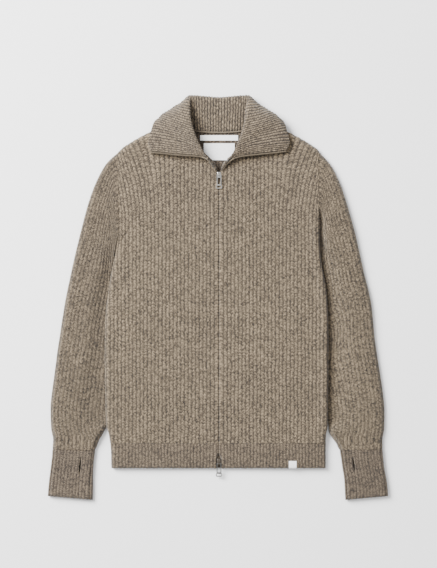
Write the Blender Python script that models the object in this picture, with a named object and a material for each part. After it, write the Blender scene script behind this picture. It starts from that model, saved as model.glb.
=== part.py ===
"""Zip-through fisherman cardigan in heavy ribbed wool, laid flat on its back.

Metres, +Z up. The wearer's head end is +Y. The garment rests on z = 0 and its
plan is centred on the origin. Lengths below are millimetres, measured from the
zip line (x) and from the middle of the laid-out height (y).
"""
import math
from collections import namedtuple

import bmesh
import bpy
from mathutils import Vector

MM = 0.001

# ---- driving dimensions, mm ----
ZIP_LINE_X = 2.2          # the left sleeve is laid 4.4 further out than the right one
SEAM_GAP = 0.3            # between two sewn pieces
BACK_WALL = 4.5           # heavy fisherman's rib
FRONT_WALL = 4.5
COLLAR_WALL = 3.6
RIB_HEIGHT = 1.1          # a rib's crest over its valley
FINE_RIB = 0.9            # hem and cuff ribs, as a share of that
BODY_RIBS = 29            # ribs across one front
HEM_RIBS = 33
SLEEVE_RIBS = 17          # ribs across the upper side of a sleeve
CUFF_RIBS = 13
HEM_TOP_Y = -292.0
HEM_BOTTOM_Y = -341.0
HPS = (80.0, 359.0)       # high point of the shoulder, where it meets the neck
SHOULDER_TIP = (202.0, 291.0)
UNDERARM_Y = 123.0
SLIDER_TOP_Y = 245.5      # hinge line of the upper pull
SLIDER_BOTTOM_Y = -331.5  # hinge line of the lower pull
PULL_HINGE_Z = 12.9
BOTTOM_PULL_SLOPE = 14.0  # degrees that the lower pull drops over the hem's edge

# half widths of the body from the zip line to its side edges, straight above the
# underarm, where the sleeves are set in
Side = namedtuple("Side", "y left right")
SIDES = [
    Side(-341, 214.5, 212.5),
    Side(-300, 216.0, 212.5),
    Side(-275, 219.5, 213.5),
    Side(-257, 224.5, 216.5),
    Side(-205, 226.8, 217.3),
    Side(-120, 228.0, 218.0),
    Side(-40, 226.5, 217.3),
    Side(15, 220.6, 213.6),
    Side(65, 212.0, 205.0),
    Side(95, 206.0, 200.9),
    Side(UNDERARM_Y, 201.0, 200.0),
]

# the front edge beside the zip opens round both sliders
Edge = namedtuple("Edge", "y x")
FRONT_EDGE = [Edge(-341, 4.6), Edge(-322, 4.4), Edge(-312, 2.6), Edge(222, 2.6),
              Edge(234, 4.6), Edge(252, 4.8)]

# top of the front and of the back, from the zip line outwards
Top = namedtuple("Top", "x y")
SHOULDER = [Top(80, 359), Top(134, 332), Top(145, 327), Top(167, 315), Top(186, 303), Top(204, 290)]
FRONT_NECK = [Top(2, 251), Top(24, 262), Top(48, 280), Top(68, 304), Top(77, 331), Top(80, 359)]
BACK_NECK = [Top(0, 331.5), Top(44, 333.5), Top(64, 341), Top(74, 349), Top(80, 359)]

# sleeve sections from the armhole to the cuff seam: the fold on the outside and
# the underarm edge, which lies BESIDE the body until the sleeve leaves it
BESIDE = None
Ring = namedtuple("Ring", "out_y out_left out_right in_y in_left in_right")
SLEEVE = [
    Ring(267, 226, 222, 103, BESIDE, BESIDE),
    Ring(231, 246, 241, 71, BESIDE, BESIDE),
    Ring(187, 262, 256, 35, BESIDE, BESIDE),
    Ring(127, 278, 273, -5, BESIDE, BESIDE),
    Ring(59, 294, 288, -53, BESIDE, BESIDE),
    Ring(-9, 308, 304, -105, BESIDE, BESIDE),
    Ring(-85, 320, 312, -161, BESIDE, BESIDE),
    Ring(-157, 330, 323, -205, BESIDE, BESIDE),
    Ring(-210, 336.5, 330, -238, BESIDE, BESIDE),
    Ring(-241, 337, 331, -258, 226.0, 219.8),
    Ring(-265, 335.5, 330, -273, 233.5, 222.0),
    Ring(-283, 332, 327, -287, 241.0, 232.0),
    Ring(-303, 333, 327, -305, 248.5, 242.0),
]
SLEEVE_GAP = 1.1          # between a sleeve's underarm edge and the body's side
Cuff = namedtuple("Cuff", "out_y out_left out_right in_y in_left in_right")
CUFF = [
    Cuff(-303.6, 333, 327, -305.6, 248.5, 242.0),
    Cuff(-318, 334, 328, -320, 250.5, 244.5),
    Cuff(-340, 336.5, 330.5, -340, 252.0, 247.5),
    Cuff(-362, 339.5, 334.5, -360, 253.0, 250.5),
    Cuff(-380, 341.3, 337, -384, 253.2, 252.0),
    Cuff(-397, 342.4, 338, -404.7, 253.5, 253.0),
]
SLIT_LENGTH = 33.0        # thumb slit in the cuff's seam
SLIT_WIDTH = 5.6
SLIT_Y = -339.5
SLIT_X_LEFT = 278.0
SLIT_X_RIGHT = 270.5

# collar sections from the zip edge round to the middle of the back, on the face
# that shows: seam to the neck, up the stand, over the roll, down the fall
Section = namedtuple("Section", "run seam stand rise roll turn leaf fold edge free")
COLLAR = [
    Section(0, (3.4, 256.5, 11), (8, 262, 14), (15, 270, 17.5), (21, 276.5, 20), (26.5, 280.5, 21.7),
            (44, 284.5, 22), (84, 287.3, 21), (112, 290.3, 20), (136, 292.3, 19)),
    Section(24, (21, 266.5, 10.5), (22.5, 271, 15), (27, 282, 21.5), (29.5, 287.5, 24.8), (35, 290.8, 27),
            (60, 300, 26.3), (102, 307, 22.5), (124, 310, 20.4), (140.8, 311, 18.8)),
    Section(49, (45, 287, 11), (43.5, 291.5, 17), (41.6, 304, 26), (41, 308.5, 30), (47, 311.5, 33),
            (74, 322.5, 29.5), (108, 331.5, 22.5), (124, 335, 19.8), (134.5, 336.5, 18)),
    Section(73, (61, 309, 11), (58, 312.5, 18), (51, 326.5, 29), (49.8, 330, 33), (56, 332.5, 36.5),
            (81, 341, 30.5), (108, 350.5, 21), (119, 354.5, 17), (127, 354, 12)),
    Section(91, (70, 329, 10.5), (66, 332, 18), (56, 343.5, 29.5), (54.4, 346.3, 34), (61, 348.5, 37),
            (83, 356, 29.5), (104, 363.2, 19), (114.5, 365.5, 11), (112, 360, 3.5)),
    Section(107, (74.5, 345, 9.5), (70, 349, 17), (59.4, 359.6, 28), (57.2, 362.3, 32.5), (63.5, 364.5, 35),
            (80, 369.5, 28), (91, 373.5, 18.5), (99.5, 374.6, 9.5), (92, 367, 0.4)),
    Section(124, (73, 355, 8), (68, 359.5, 14), (60.2, 376, 22.5), (58.4, 380, 27), (64.5, 382, 28.5),
            (74.5, 383.5, 24), (79.5, 385, 16), (85, 383.5, 8), (76, 368, 0)),
    Section(137, (67.5, 350.5, 6.5), (64.5, 359, 11.5), (58.4, 387, 17.5), (58.2, 393, 22),
            (63.5, 395.5, 20.5), (69, 395, 15), (72.5, 392, 8), (72.5, 384, 2), (68, 362, 0)),
    Section(150, (60, 340.6, 5.0), (58.5, 353, 10), (55.5, 394, 14.5), (58, 402.5, 12.5), (61.5, 403, 8),
            (64.5, 398, 2.5), (65, 386, 0), (64, 370, 0), (62, 352, 0)),
    Section(164, (44, 334.6, 4.8), (44, 345, 9.5), (45, 395, 12), (46, 403.8, 7), (47, 401, 2),
            (47, 391, 0), (46, 376, 0), (45, 360, 0), (44, 344, 0)),
    Section(187, (22, 332.7, 4.8), (22, 341.5, 9.4), (23, 393, 11.4), (23, 401.8, 6.6), (23, 399, 1.8),
            (23, 389, 0), (23, 374, 0), (22.5, 357, 0), (22, 340, 0)),
    Section(210, (0, 332.0, 4.8), (0, 340.8, 9.4), (0, 391.5, 11), (0, 400.2, 6.4), (0, 397.5, 1.8),
            (0, 387, 0), (0, 372, 0), (0, 356, 0), (0, 339, 0)),
]
# how far the right leaf lies from the left one's mirror image, at each section
Shift = namedtuple("Shift", "roll_x edge_y")
RIGHT_LEAF = [Shift(-1, 0), Shift(-2, -2), Shift(-3, -1), Shift(-3.5, 0),
              Shift(-4, -1), Shift(-4, -1), Shift(-4, -1)]
RIGHT_ZIP_EDGE = Section(0, (3.4, 256.5, 11), (8, 260.8, 14), (15, 267.5, 17.5), (21, 273.8, 20),
                         (27, 277.8, 21.7), (46, 282.4, 22), (84, 286, 21), (112, 289.8, 20),
                         (135, 294.5, 19))
COLLAR_RIBS = 36          # ribs on each half of the band
COLLAR_RIB = 0.8          # their height, none at the seam or underneath
PINCH = 0.7               # share that the wall loses where it folds most tightly
ZIP_PINCH = 95.0          # run from the zip edge over which it does
SHOULDER_RUN = 125.0      # run at the shoulder's corner
SHOULDER_PINCH = 40.0     # run to each side of it
# a section's columns in order, from the seam to the free edge
ACROSS = [0.0, 1.0, 2.0, 3.0, 4.0, 4.5, 5.0, 5.6, 6.2, 7.0, 7.5, 8.0]

garment = bpy.data.collections.new("fisherman_cardigan")
cutters = bpy.data.collections.new("cutters")


def clear_scene():
    for old in list(bpy.data.objects):
        bpy.data.objects.remove(old, do_unlink=True)
    bpy.context.scene.collection.children.link(garment)
    bpy.context.scene.collection.children.link(cutters)


def material(name, colour, roughness, metallic=0.0):
    made = bpy.data.materials.get(name)
    if made is None:
        made = bpy.data.materials.new(name)
        made.use_nodes = True
        shader = made.node_tree.nodes["Principled BSDF"]
        shader.inputs["Base Color"].default_value = (*colour, 1.0)
        shader.inputs["Roughness"].default_value = roughness
        shader.inputs["Metallic"].default_value = metallic
    return made


def wool():
    return material("marled_wool", (0.30, 0.24, 0.19), 0.95)


def rib_wool():
    return material("rib_wool", (0.24, 0.19, 0.15), 0.95)


def tape_cloth():
    return material("zip_tape", (0.05, 0.035, 0.028), 0.9)


def zip_metal():
    return material("zip_metal", (0.62, 0.60, 0.57), 0.3, 1.0)


def label_cloth():
    return material("label_cloth", (0.85, 0.85, 0.84), 0.8)


# ---- curves through the tables ----
def curve(xs, ys, x):
    """Cubic through the points (xs, ys), xs rising, flat beyond the ends."""
    if x <= xs[0]:
        return ys[0]
    if x >= xs[-1]:
        return ys[-1]
    i = max(k for k in range(len(xs) - 1) if xs[k] <= x)
    step = xs[i + 1] - xs[i]
    t = (x - xs[i]) / step

    def slope(k):
        low, high = max(k - 1, 0), min(k + 1, len(xs) - 1)
        return (ys[high] - ys[low]) / (xs[high] - xs[low])

    h00 = 2 * t**3 - 3 * t**2 + 1
    h10 = t**3 - 2 * t**2 + t
    h01 = -2 * t**3 + 3 * t**2
    h11 = t**3 - t**2
    return h00 * ys[i] + h10 * step * slope(i) + h01 * ys[i + 1] + h11 * step * slope(i + 1)


def straight(points, x):
    """Straight lines through the points (x, y)."""
    if x <= points[0][0]:
        return points[0][1]
    for (x0, y0), (x1, y1) in zip(points, points[1:]):
        if x <= x1:
            return y0 + (y1 - y0) * (x - x0) / (x1 - x0)
    return points[-1][1]


def smooth_step(low, high, x):
    t = min(max((x - low) / (high - low), 0.0), 1.0)
    return t * t * (3 - 2 * t)


def side_x(side, y):
    """Distance of the body's side edge from the zip line."""
    widths = [row.left if side < 0 else row.right for row in SIDES]
    return curve([row.y for row in SIDES], widths, y)


def front_top(x):
    neck = curve([p.x for p in FRONT_NECK], [p.y for p in FRONT_NECK], x)
    shoulder = curve([p.x for p in SHOULDER], [p.y for p in SHOULDER], x)
    return neck if x < HPS[0] else shoulder


def back_top(x):
    neck = curve([p.x for p in BACK_NECK], [p.y for p in BACK_NECK], x)
    shoulder = curve([p.x for p in SHOULDER], [p.y for p in SHOULDER], x)
    return neck if x < HPS[0] else shoulder


# ---- walls ----
def zipper_strip(mesh, first, second):
    """Joins two rows of vertices of unlike counts with triangles, by their plan lengths."""
    def travelled(row):
        steps = [0.0]
        for a, b in zip(row, row[1:]):
            steps.append(steps[-1] + (b.co - a.co).xy.length)
        return [step / steps[-1] for step in steps]

    first_at, second_at = travelled(first), travelled(second)
    i = j = 0
    while i < len(first) - 1 or j < len(second) - 1:
        next_first = first_at[i + 1] if i < len(first) - 1 else 2.0
        next_second = second_at[j + 1] if j < len(second) - 1 else 2.0
        if next_first <= next_second:
            mesh.faces.new((first[i], first[i + 1], second[j]))
            i += 1
        else:
            mesh.faces.new((first[i], second[j + 1], second[j]))
            j += 1


def grid_faces(mesh, grid, closed):
    rows = [[mesh.verts.new(Vector(point) * MM) for point in row] for row in grid]
    for low, high in zip(rows, rows[1:]):
        count = len(low) if closed else len(low) - 1
        for k in range(count):
            after = (k + 1) % len(low)
            mesh.faces.new((low[k], low[after], high[after], high[k]))
    return rows


def place(name, mesh, surface):
    """Closes a mesh as one named object with its faces pointing out."""
    bmesh.ops.recalc_face_normals(mesh, faces=mesh.faces[:])
    data = bpy.data.meshes.new(name)
    mesh.to_mesh(data)
    mesh.free()
    data.materials.append(surface)
    item = bpy.data.objects.new(name, data)
    garment.objects.link(item)
    return item


def wall(name, outer, inner, surface, closed=False):
    """Cloth between an outer grid of points and a plainer inner one.

    The grids run the same way, row by row. A closed pair is a tube.
    """
    mesh = bmesh.new()
    out_rows = grid_faces(mesh, outer, closed)
    in_rows = grid_faces(mesh, inner, closed)
    for out_end, in_end in ((out_rows[0], in_rows[0]), (out_rows[-1], in_rows[-1])):
        if closed:
            zipper_strip(mesh, out_end + out_end[:1], in_end + in_end[:1])
        else:
            zipper_strip(mesh, out_end, in_end)
    if not closed:
        for k in (0, -1):
            zipper_strip(mesh, [row[k] for row in out_rows], [row[k] for row in in_rows])
    return place(name, mesh, surface)


def at(side, x, y, z):
    """A point given from the zip line, side -1 for the left and 1 for the right."""
    return (ZIP_LINE_X + side * x, y, z)


# ---- the laid body ----
INNER_LIP_Z = BACK_WALL + SEAM_GAP
EDGE_LIP_Z = INNER_LIP_Z + 1.2
ROUNDING = 12.0           # width over which an edge rounds down


def air(x, y):
    """Slack between front and back: the cloth lies closest along the zip."""
    slack = 1.2 + 1.5 * smooth_step(10, 150, abs(x))
    return slack + 0.35 * math.sin(y / 61.0 + x / 83.0) * smooth_step(20, 90, abs(x))


def drop(distance, height, lip=EDGE_LIP_Z):
    """Height of a quarter-round edge, at a distance in from it."""
    if distance >= ROUNDING:
        return height
    k = 1.0 - max(distance, 0.0) / ROUNDING
    return lip + (height - lip) * math.sqrt(max(1.0 - k * k, 0.0))


def front_height(side, x, y, top_distance):
    """Valley height of the upper layer of the body, rounded where it ends."""
    height = INNER_LIP_Z + air(x, y) + FRONT_WALL
    from_side = side_x(side, y) - x
    folded = smooth_step(UNDERARM_Y + 30, UNDERARM_Y - 15, y)
    rounded = drop(from_side, height)
    seam_dip = height - 1.2 * (1 - min(max(from_side, 0) / 6.0, 1.0)) ** 2
    height = rounded * folded + seam_dip * (1 - folded)
    shoulder = smooth_step(HPS[0] - 4, HPS[0] + 12, x)
    return min(height, drop(top_distance, height) * shoulder + height * (1 - shoulder))


def crest(k, count):
    """Height of column k over the rib valleys, none on the two edges."""
    return RIB_HEIGHT if k % 2 and 0 < k < count else 0.0


TOP_BAND = 14.0           # depth of the rows that round the front's top edge


def front_grid(side, columns, heights):
    """Points over one front: each row is a share of the way up to the band
    under its top edge, and a share of the way up that band."""
    grid = []
    for share, within_band in heights:
        row = []
        for u in columns:
            top = front_top(FRONT_NECK[0].x + u * (SHOULDER_TIP[0] - FRONT_NECK[0].x))
            bottom = HEM_TOP_Y + SEAM_GAP
            y = bottom + share * (top - TOP_BAND - bottom) + within_band * TOP_BAND
            edge = straight(FRONT_EDGE, y)
            x = edge + u * (side_x(side, y) - edge)
            row.append((x, y, top - y))
        grid.append(row)
    return grid


# rows up a front as shares of its height, one of them at the underarm
FRONT_ROWS = [0.0, 0.1, 0.2, 0.3, 0.4, 0.5, 0.6, 0.675, 0.729, 0.82, 0.91, 1.0]


def front_panel(side):
    name = "front_left" if side < 0 else "front_right"
    columns = [k / (2 * BODY_RIBS) for k in range(2 * BODY_RIBS + 1)]
    rows = [(share, 0.0) for share in FRONT_ROWS] + [(1.0, 0.45), (1.0, 0.8), (1.0, 1.0)]
    outer = []
    for row in front_grid(side, columns, rows):
        outer.append([at(side, x, y, front_height(side, x, y, to_top)
                         + crest(k, 2 * BODY_RIBS) * min(to_top / 3.0, 1.0))
                      for k, (x, y, to_top) in enumerate(row)])
    inner_columns = [k / 14 for k in range(14)] + [0.965, 0.985, 0.9995]
    inner_rows = [(share, 0.0) for share in FRONT_ROWS[::2] + FRONT_ROWS[-1:]] + [(1.0, 0.5), (1.0, 1.0)]
    inner = []
    for row in front_grid(side, inner_columns, inner_rows):
        inner.append([at(side, x, y, inner_height(side, x, y, to_top)) for x, y, to_top in row])
    return wall(name, outer, inner, wool())


def inner_height(side, x, y, top_distance):
    """Underside of the upper layer, down to the lip at a folded edge."""
    from_side = side_x(side, y) - x
    folded = smooth_step(UNDERARM_Y + 30, UNDERARM_Y - 15, y)
    rise = smooth_step(1, 12, from_side) * folded + (1 - folded)
    shoulder = smooth_step(HPS[0] - 4, HPS[0] + 12, x)
    rise *= smooth_step(1, 11, top_distance) * shoulder + (1 - shoulder)
    return INNER_LIP_Z + air(x, y) * rise


def hem_height(x, y, side):
    """Valley height of the front hem: rounded at the side seam and along the bottom."""
    height = INNER_LIP_Z + air(x, y) * 0.9 + FRONT_WALL
    rounded = drop(side_x(side, y) - x, height)
    return min(rounded, drop(y - HEM_BOTTOM_Y, height, height - 2.2))


def hem_front(side):
    name = "hem_front_left" if side < 0 else "hem_front_right"
    ys = [HEM_TOP_Y, -325.0, -334.0, -338.5, HEM_BOTTOM_Y]
    outer = []
    for y in ys:
        edge = straight(FRONT_EDGE, y)
        row = []
        for k in range(2 * HEM_RIBS + 1):
            x = edge + k / (2 * HEM_RIBS) * (side_x(side, y) - edge)
            row.append(at(side, x, y, hem_height(x, y, side) + FINE_RIB * crest(k, 2 * HEM_RIBS)))
        outer.append(row)
    inner = []
    for y in (HEM_TOP_Y, -325.0, HEM_BOTTOM_Y):
        edge = straight(FRONT_EDGE, y)
        row = []
        for u in [k / 14 for k in range(14)] + [0.97, 0.9995]:
            x = edge + u * (side_x(side, y) - edge)
            rise = smooth_step(1, 12, side_x(side, y) - x)
            row.append(at(side, x, y, INNER_LIP_Z + 0.85 * air(x, y) * rise))
        inner.append(row)
    return wall(name, outer, inner, rib_wool())


def under_layer(name, outline, surface):
    """A flat lower wall from rows of (left x, right x, left y, right y), rounded under its sides."""
    inset, columns = 2.5, 6
    top, bottom = [], []
    for left, right, left_y, right_y in outline:
        def across(low, high, z):
            return [(low + (high - low) * k / columns, left_y + (right_y - left_y) * k / columns, z)
                    for k in range(columns + 1)]
        top.append(across(left, right, BACK_WALL))
        flat = across(left + inset, right - inset, 0.0)
        bottom.append([(left, left_y, 2.6), (left + 0.7, left_y, 0.8)] + flat
                      + [(right - 0.7, right_y, 0.8), (right, right_y, 2.6)])
    return wall(name, bottom, top, surface)


def back_panel():
    """The back: shares the fronts' side and shoulder lines, with a shallower neck."""
    columns, rows = 20, [0.0, 0.12, 0.24, 0.36, 0.48, 0.6, 0.67, 0.7117, 0.8, 0.9, 1.0]
    bottom = HEM_TOP_Y + SEAM_GAP
    top_grid, floor_grid = [], []
    for share in rows:
        top_row, floor_row = [], []
        for k in range(columns + 1):
            u = 2.0 * k / columns - 1.0
            side = -1 if u < 0 else 1
            tip = abs(u) * SHOULDER_TIP[0]
            y = bottom + share * (back_top(tip) - bottom)
            reach = side_x(side, y)
            top_row.append(at(side, abs(u) * reach, y, BACK_WALL))
            floor_row.append(at(side, abs(u) * (reach - 2.5), y, 0.0))
        y_left, y_right = top_row[0][1], top_row[-1][1]
        left, right = top_row[0][0], top_row[-1][0]
        floor_row = ([(left, y_left, 2.6), (left + 0.7, y_left, 0.8)] + floor_row
                     + [(right - 0.7, y_right, 0.8), (right, y_right, 2.6)])
        top_grid.append(top_row)
        floor_grid.append(floor_row)
    return wall("back", floor_grid, top_grid, wool())


def hem_back():
    outline = []
    for y in (HEM_TOP_Y, -316.0, HEM_BOTTOM_Y):
        outline.append((ZIP_LINE_X - side_x(-1, y), ZIP_LINE_X + side_x(1, y), y, y))
    return under_layer("hem_back", outline, rib_wool())


# ---- sleeves and cuffs ----
SLEEVE_HEIGHT = 11.8      # valley height of a sleeve's upper side
HOLLOW = 2.6              # slack between its two layers


def sleeve_top(distance_out, distance_in, tapered):
    """Valley height: round over the outer fold, falling away towards the body."""
    outside = 1.0 - min(distance_out / 10.0, 1.0)
    inside = 1.0 - min(distance_in / (9.0 + 13.0 * tapered), 1.0)
    height = SLEEVE_HEIGHT * math.sqrt(max(1 - outside**2.2, 0.0))
    return 2.2 + (height - 2.2) * math.sqrt(max(1 - inside**2.0, 0.0))


def sleeve_rings(side):
    """Each ring's two ends in plan, from the armhole to the cuff."""
    rings = []
    for row in SLEEVE:
        out_x = row.out_left if side < 0 else row.out_right
        in_x = row.in_left if side < 0 else row.in_right
        if in_x is BESIDE:
            in_x = side_x(side, row.in_y) + SLEEVE_GAP
        rings.append((Vector((out_x, row.out_y)), Vector((in_x, row.in_y))))
    return rings


def ring_points(side, out_end, in_end, shares, armhole, height_at):
    """Points across a sleeve, at shares of the way in from its outer fold."""
    points = []
    for s in shares:
        spot = out_end.lerp(in_end, s)
        if armhole:
            spot.x = side_x(side, spot.y) + SEAM_GAP
        length = (in_end - out_end).length
        points.append(at(side, spot.x, spot.y, height_at(s * length, (1 - s) * length)))
    return points


def sleeve(side):
    name = "sleeve_left" if side < 0 else "sleeve_right"
    count = 2 * SLEEVE_RIBS
    tops = [k / count for k in range(count + 1)]
    armhole = (Vector((0.0, SHOULDER_TIP[1])), Vector((0.0, UNDERARM_Y)))
    outer, inner = [], []
    for n, (out_end, in_end) in enumerate([armhole] + sleeve_rings(side)):
        tapered = smooth_step(0, 2, n) * smooth_step(12.5, 10, n)

        def upper(a, b):
            return sleeve_top(a, b, tapered)

        ring = ring_points(side, out_end, in_end, tops, n == 0, upper)
        ring = [(x, y, z + crest(k, count)) for k, (x, y, z) in enumerate(ring)]
        length = (in_end - out_end).length
        edge = 2.5 / length
        floor = [1.0 - edge, 0.75, 0.5, 0.25, edge]
        ring += ring_points(side, out_end, in_end, floor, n == 0, lambda a, b: 0.0)
        outer.append(ring)
        start, end = 6.0 / length, 1.0 - (7.0 + 7.0 * tapered) / length
        shares = [start, start + 0.04, 0.2, 0.35, 0.5, 0.65, 0.8, end - 0.04, end]

        def lower(a, b):
            return BACK_WALL

        def ceiling(a, b):
            return min(BACK_WALL + HOLLOW, upper(a, b) - 3.6)

        hollow = ring_points(side, out_end, in_end, shares[1:-1], n == 0, ceiling)
        middle = BACK_WALL + 0.5
        left = ring_points(side, out_end, in_end, shares[:1], n == 0, lambda a, b: middle)
        right = ring_points(side, out_end, in_end, shares[-1:], n == 0, lambda a, b: middle)
        under = ring_points(side, out_end, in_end, shares[-2:0:-2], n == 0, lower)
        inner.append(left + hollow + right + under)
    return wall(name, outer, inner, wool(), closed=True)


def cuff_ends(side):
    return [(Vector((row.out_left if side < 0 else row.out_right, row.out_y)),
             Vector((row.in_left if side < 0 else row.in_right, row.in_y))) for row in CUFF]


def cuff_height(distance_out, distance_in, distance_end):
    nearest = min(distance_out, distance_in) + 0.4
    height = SLEEVE_HEIGHT - 0.6
    return min(drop(nearest, height), drop(distance_end, height, height - 2.2))


def cuff_front(side):
    """Upper layer of the cuff, with the thumb slit cut through it."""
    name = "cuff_left_front" if side < 0 else "cuff_right_front"
    count = 2 * CUFF_RIBS
    outer, inner = [], []
    ends = cuff_ends(side)
    for out_end, in_end in ends:
        to_end = out_end.y - ends[-1][0].y
        row = ring_points(side, out_end, in_end, [k / count for k in range(count + 1)], False,
                          lambda a, b: cuff_height(a, b, to_end))
        outer.append([(x, y, z + FINE_RIB * crest(k, count)) for k, (x, y, z) in enumerate(row)])

        def underside(a, b):
            return INNER_LIP_Z + 1.6 * smooth_step(1, 9, min(a, b))

        inner.append(ring_points(side, out_end, in_end, [0.003, 0.06, 0.12, 0.3, 0.5, 0.7, 0.88, 0.94, 0.997],
                                 False, underside))
    cuff = wall(name, outer, inner, rib_wool())
    cuff.modifiers.new("thumb slit", "BOOLEAN").object = slit_cutter(side)
    cuff.modifiers["thumb slit"].operation = "DIFFERENCE"
    return cuff


def slit_cutter(side):
    mesh = bmesh.new()
    bmesh.ops.create_cone(mesh, cap_ends=True, segments=20, radius1=0.5, radius2=0.5, depth=1.0)
    bmesh.ops.scale(mesh, vec=(SLIT_WIDTH * MM, SLIT_LENGTH * MM, 30 * MM), verts=mesh.verts)
    data = bpy.data.meshes.new("slit")
    mesh.to_mesh(data)
    mesh.free()
    cutter = bpy.data.objects.new("slit_left" if side < 0 else "slit_right", data)
    slit_x = SLIT_X_LEFT if side < 0 else SLIT_X_RIGHT
    cutter.location = Vector(at(side, slit_x, SLIT_Y, 10.0)) * MM
    cutter.rotation_euler.z = side * math.radians(3.0)
    cutter.hide_render = True
    cutter.display_type = "WIRE"
    cutters.objects.link(cutter)
    return cutter


def cuff_back(side):
    name = "cuff_left_back" if side < 0 else "cuff_right_back"
    outline = []
    for out_end, in_end in cuff_ends(side):
        low, high = (out_end, in_end) if side < 0 else (in_end, out_end)
        outline.append((at(side, low.x, 0, 0)[0], at(side, high.x, 0, 0)[0], low.y, high.y))
    return under_layer(name, outline, rib_wool())


# ---- collar ----
def collar_sections():
    """Sections round the whole band as (run, nine points), left zip edge first."""
    left, right = [], []
    for n, row in enumerate(COLLAR):
        left.append((row.run, [Vector(at(-1, *point)) for point in row[1:]]))
        source = RIGHT_ZIP_EDGE if n == 0 else row
        shift = RIGHT_LEAF[n] if n < len(RIGHT_LEAF) else Shift(0, 0)
        points = []
        for k, (x, y, z) in enumerate(source[1:]):
            if n and 2 <= k <= 4:
                x += shift.roll_x
            if n and k >= 5:
                y += shift.edge_y
            points.append(Vector(at(1, x, y, z)))
        right.append((2 * COLLAR[-1].run - row.run, points))
    return left + right[-2::-1]


def collar_point(sections, run, place_across):
    """A point of the band's visible face: run along it, 0 seam to 8 free edge."""
    runs = [row[0] for row in sections]
    low = int(min(place_across, 7.999))
    share = place_across - low

    def along(k):
        k = min(max(k, 0), 8)
        return Vector([curve(runs, [row[1][k][axis] for row in sections], run) for axis in range(3)])

    before, start, end, after = along(low - 1), along(low), along(low + 1), along(low + 2)
    if low == 0:
        before = start
    if low >= 7:
        after = end
    tangent_in = (end - before) / 2
    tangent_out = (after - start) / 2
    t = share
    spot = (start * (2 * t**3 - 3 * t**2 + 1) + tangent_in * (t**3 - 2 * t**2 + t)
            + end * (3 * t**2 - 2 * t**3) + tangent_out * (t**3 - t**2))
    spot.z = max(spot.z, 0.0)
    return spot


def collar_normal(sections, run, place_across):
    """Direction out of the visible face."""
    last = sections[-1][0]
    run_low, run_high = max(run - 3, 0), min(run + 3, last)
    low, high = max(place_across - 0.3, 0.0), min(place_across + 0.3, 8.0)
    along = collar_point(sections, run_high, place_across) - collar_point(sections, run_low, place_across)
    across = collar_point(sections, run, high) - collar_point(sections, run, low)
    return along.cross(across).normalized()


def collar_thickness(from_zip, place_across):
    """Wall of the band, squeezed where it folds tightly: at the zip and at the shoulder."""
    at_zip = (1 - smooth_step(20, ZIP_PINCH, from_zip)) * (1 - smooth_step(4.5, 6, place_across))
    at_shoulder = ((1 - smooth_step(6, SHOULDER_PINCH, abs(from_zip - SHOULDER_RUN)))
                   * (1 - smooth_step(1.5, 3, place_across)))
    return COLLAR_WALL * (1 - PINCH * max(at_zip, at_shoulder))


def collar():
    sections = collar_sections()
    total = sections[-1][0]
    count = 4 * COLLAR_RIBS
    outer, inner = [], []
    for place_across in ACROSS:
        row = []
        for k in range(count + 1):
            run = total * k / count
            spot = collar_point(sections, run, place_across)
            out = collar_normal(sections, run, place_across)
            lift = COLLAR_RIB * min(place_across, 1.0) if k % 2 and 3 < k < count - 3 else 0.0
            if out.z < -0.3:
                lift = 0.0
            row.append(spot + out * lift)
        outer.append(row)
    for place_across in (0.0, 1.0, 2.0, 3.0, 4.0, 5.0, 6.2, 7.0, 8.0):
        row = []
        for k in range(count // 2 + 1):
            run = total * 2 * k / count
            spot = collar_point(sections, run, place_across)
            thickness = collar_thickness(min(run, total - run), place_across)
            row.append(spot - collar_normal(sections, run, place_across) * thickness)
        inner.append(row)
    return wall("collar", outer, inner, rib_wool())


# ---- zip ----
TAPE_TOP_Z = INNER_LIP_Z + 0.7
CHAIN_TOP_Z = 8.4


def block(name, low, high, surface, bevel=0.0, segments=2):
    """A cuboid between two corners in mm, its edges rounded by bevel mm."""
    mesh = bmesh.new()
    size = [b - a for a, b in zip(low, high)]
    middle = Vector([(a + b) / 2 for a, b in zip(low, high)]) * MM
    bmesh.ops.create_cube(mesh, size=MM)
    bmesh.ops.scale(mesh, vec=size, verts=mesh.verts)
    if bevel:
        bmesh.ops.bevel(mesh, geom=mesh.edges[:], offset=bevel * MM, segments=segments, profile=0.5,
                        affect="EDGES", material=-1)
    item = place(name, mesh, surface)
    item.location = middle
    return item


def zip_tapes_and_chain():
    low, high = HEM_BOTTOM_Y + 1.0, SLIDER_TOP_Y + 4.5
    for side in (-1, 1):
        name = "zip_tape_left" if side < 0 else "zip_tape_right"
        xs = sorted((ZIP_LINE_X + side * 0.2, ZIP_LINE_X + side * 14.0))
        block(name, (xs[0], low, INNER_LIP_Z), (xs[1], high, TAPE_TOP_Z), tape_cloth())
    block("zip_chain", (ZIP_LINE_X - 2.2, SLIDER_BOTTOM_Y + 10.3, TAPE_TOP_Z + SEAM_GAP),
          (ZIP_LINE_X + 2.2, SLIDER_TOP_Y - 7.2, CHAIN_TOP_Z), tape_cloth(), bevel=0.6, segments=1)


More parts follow.
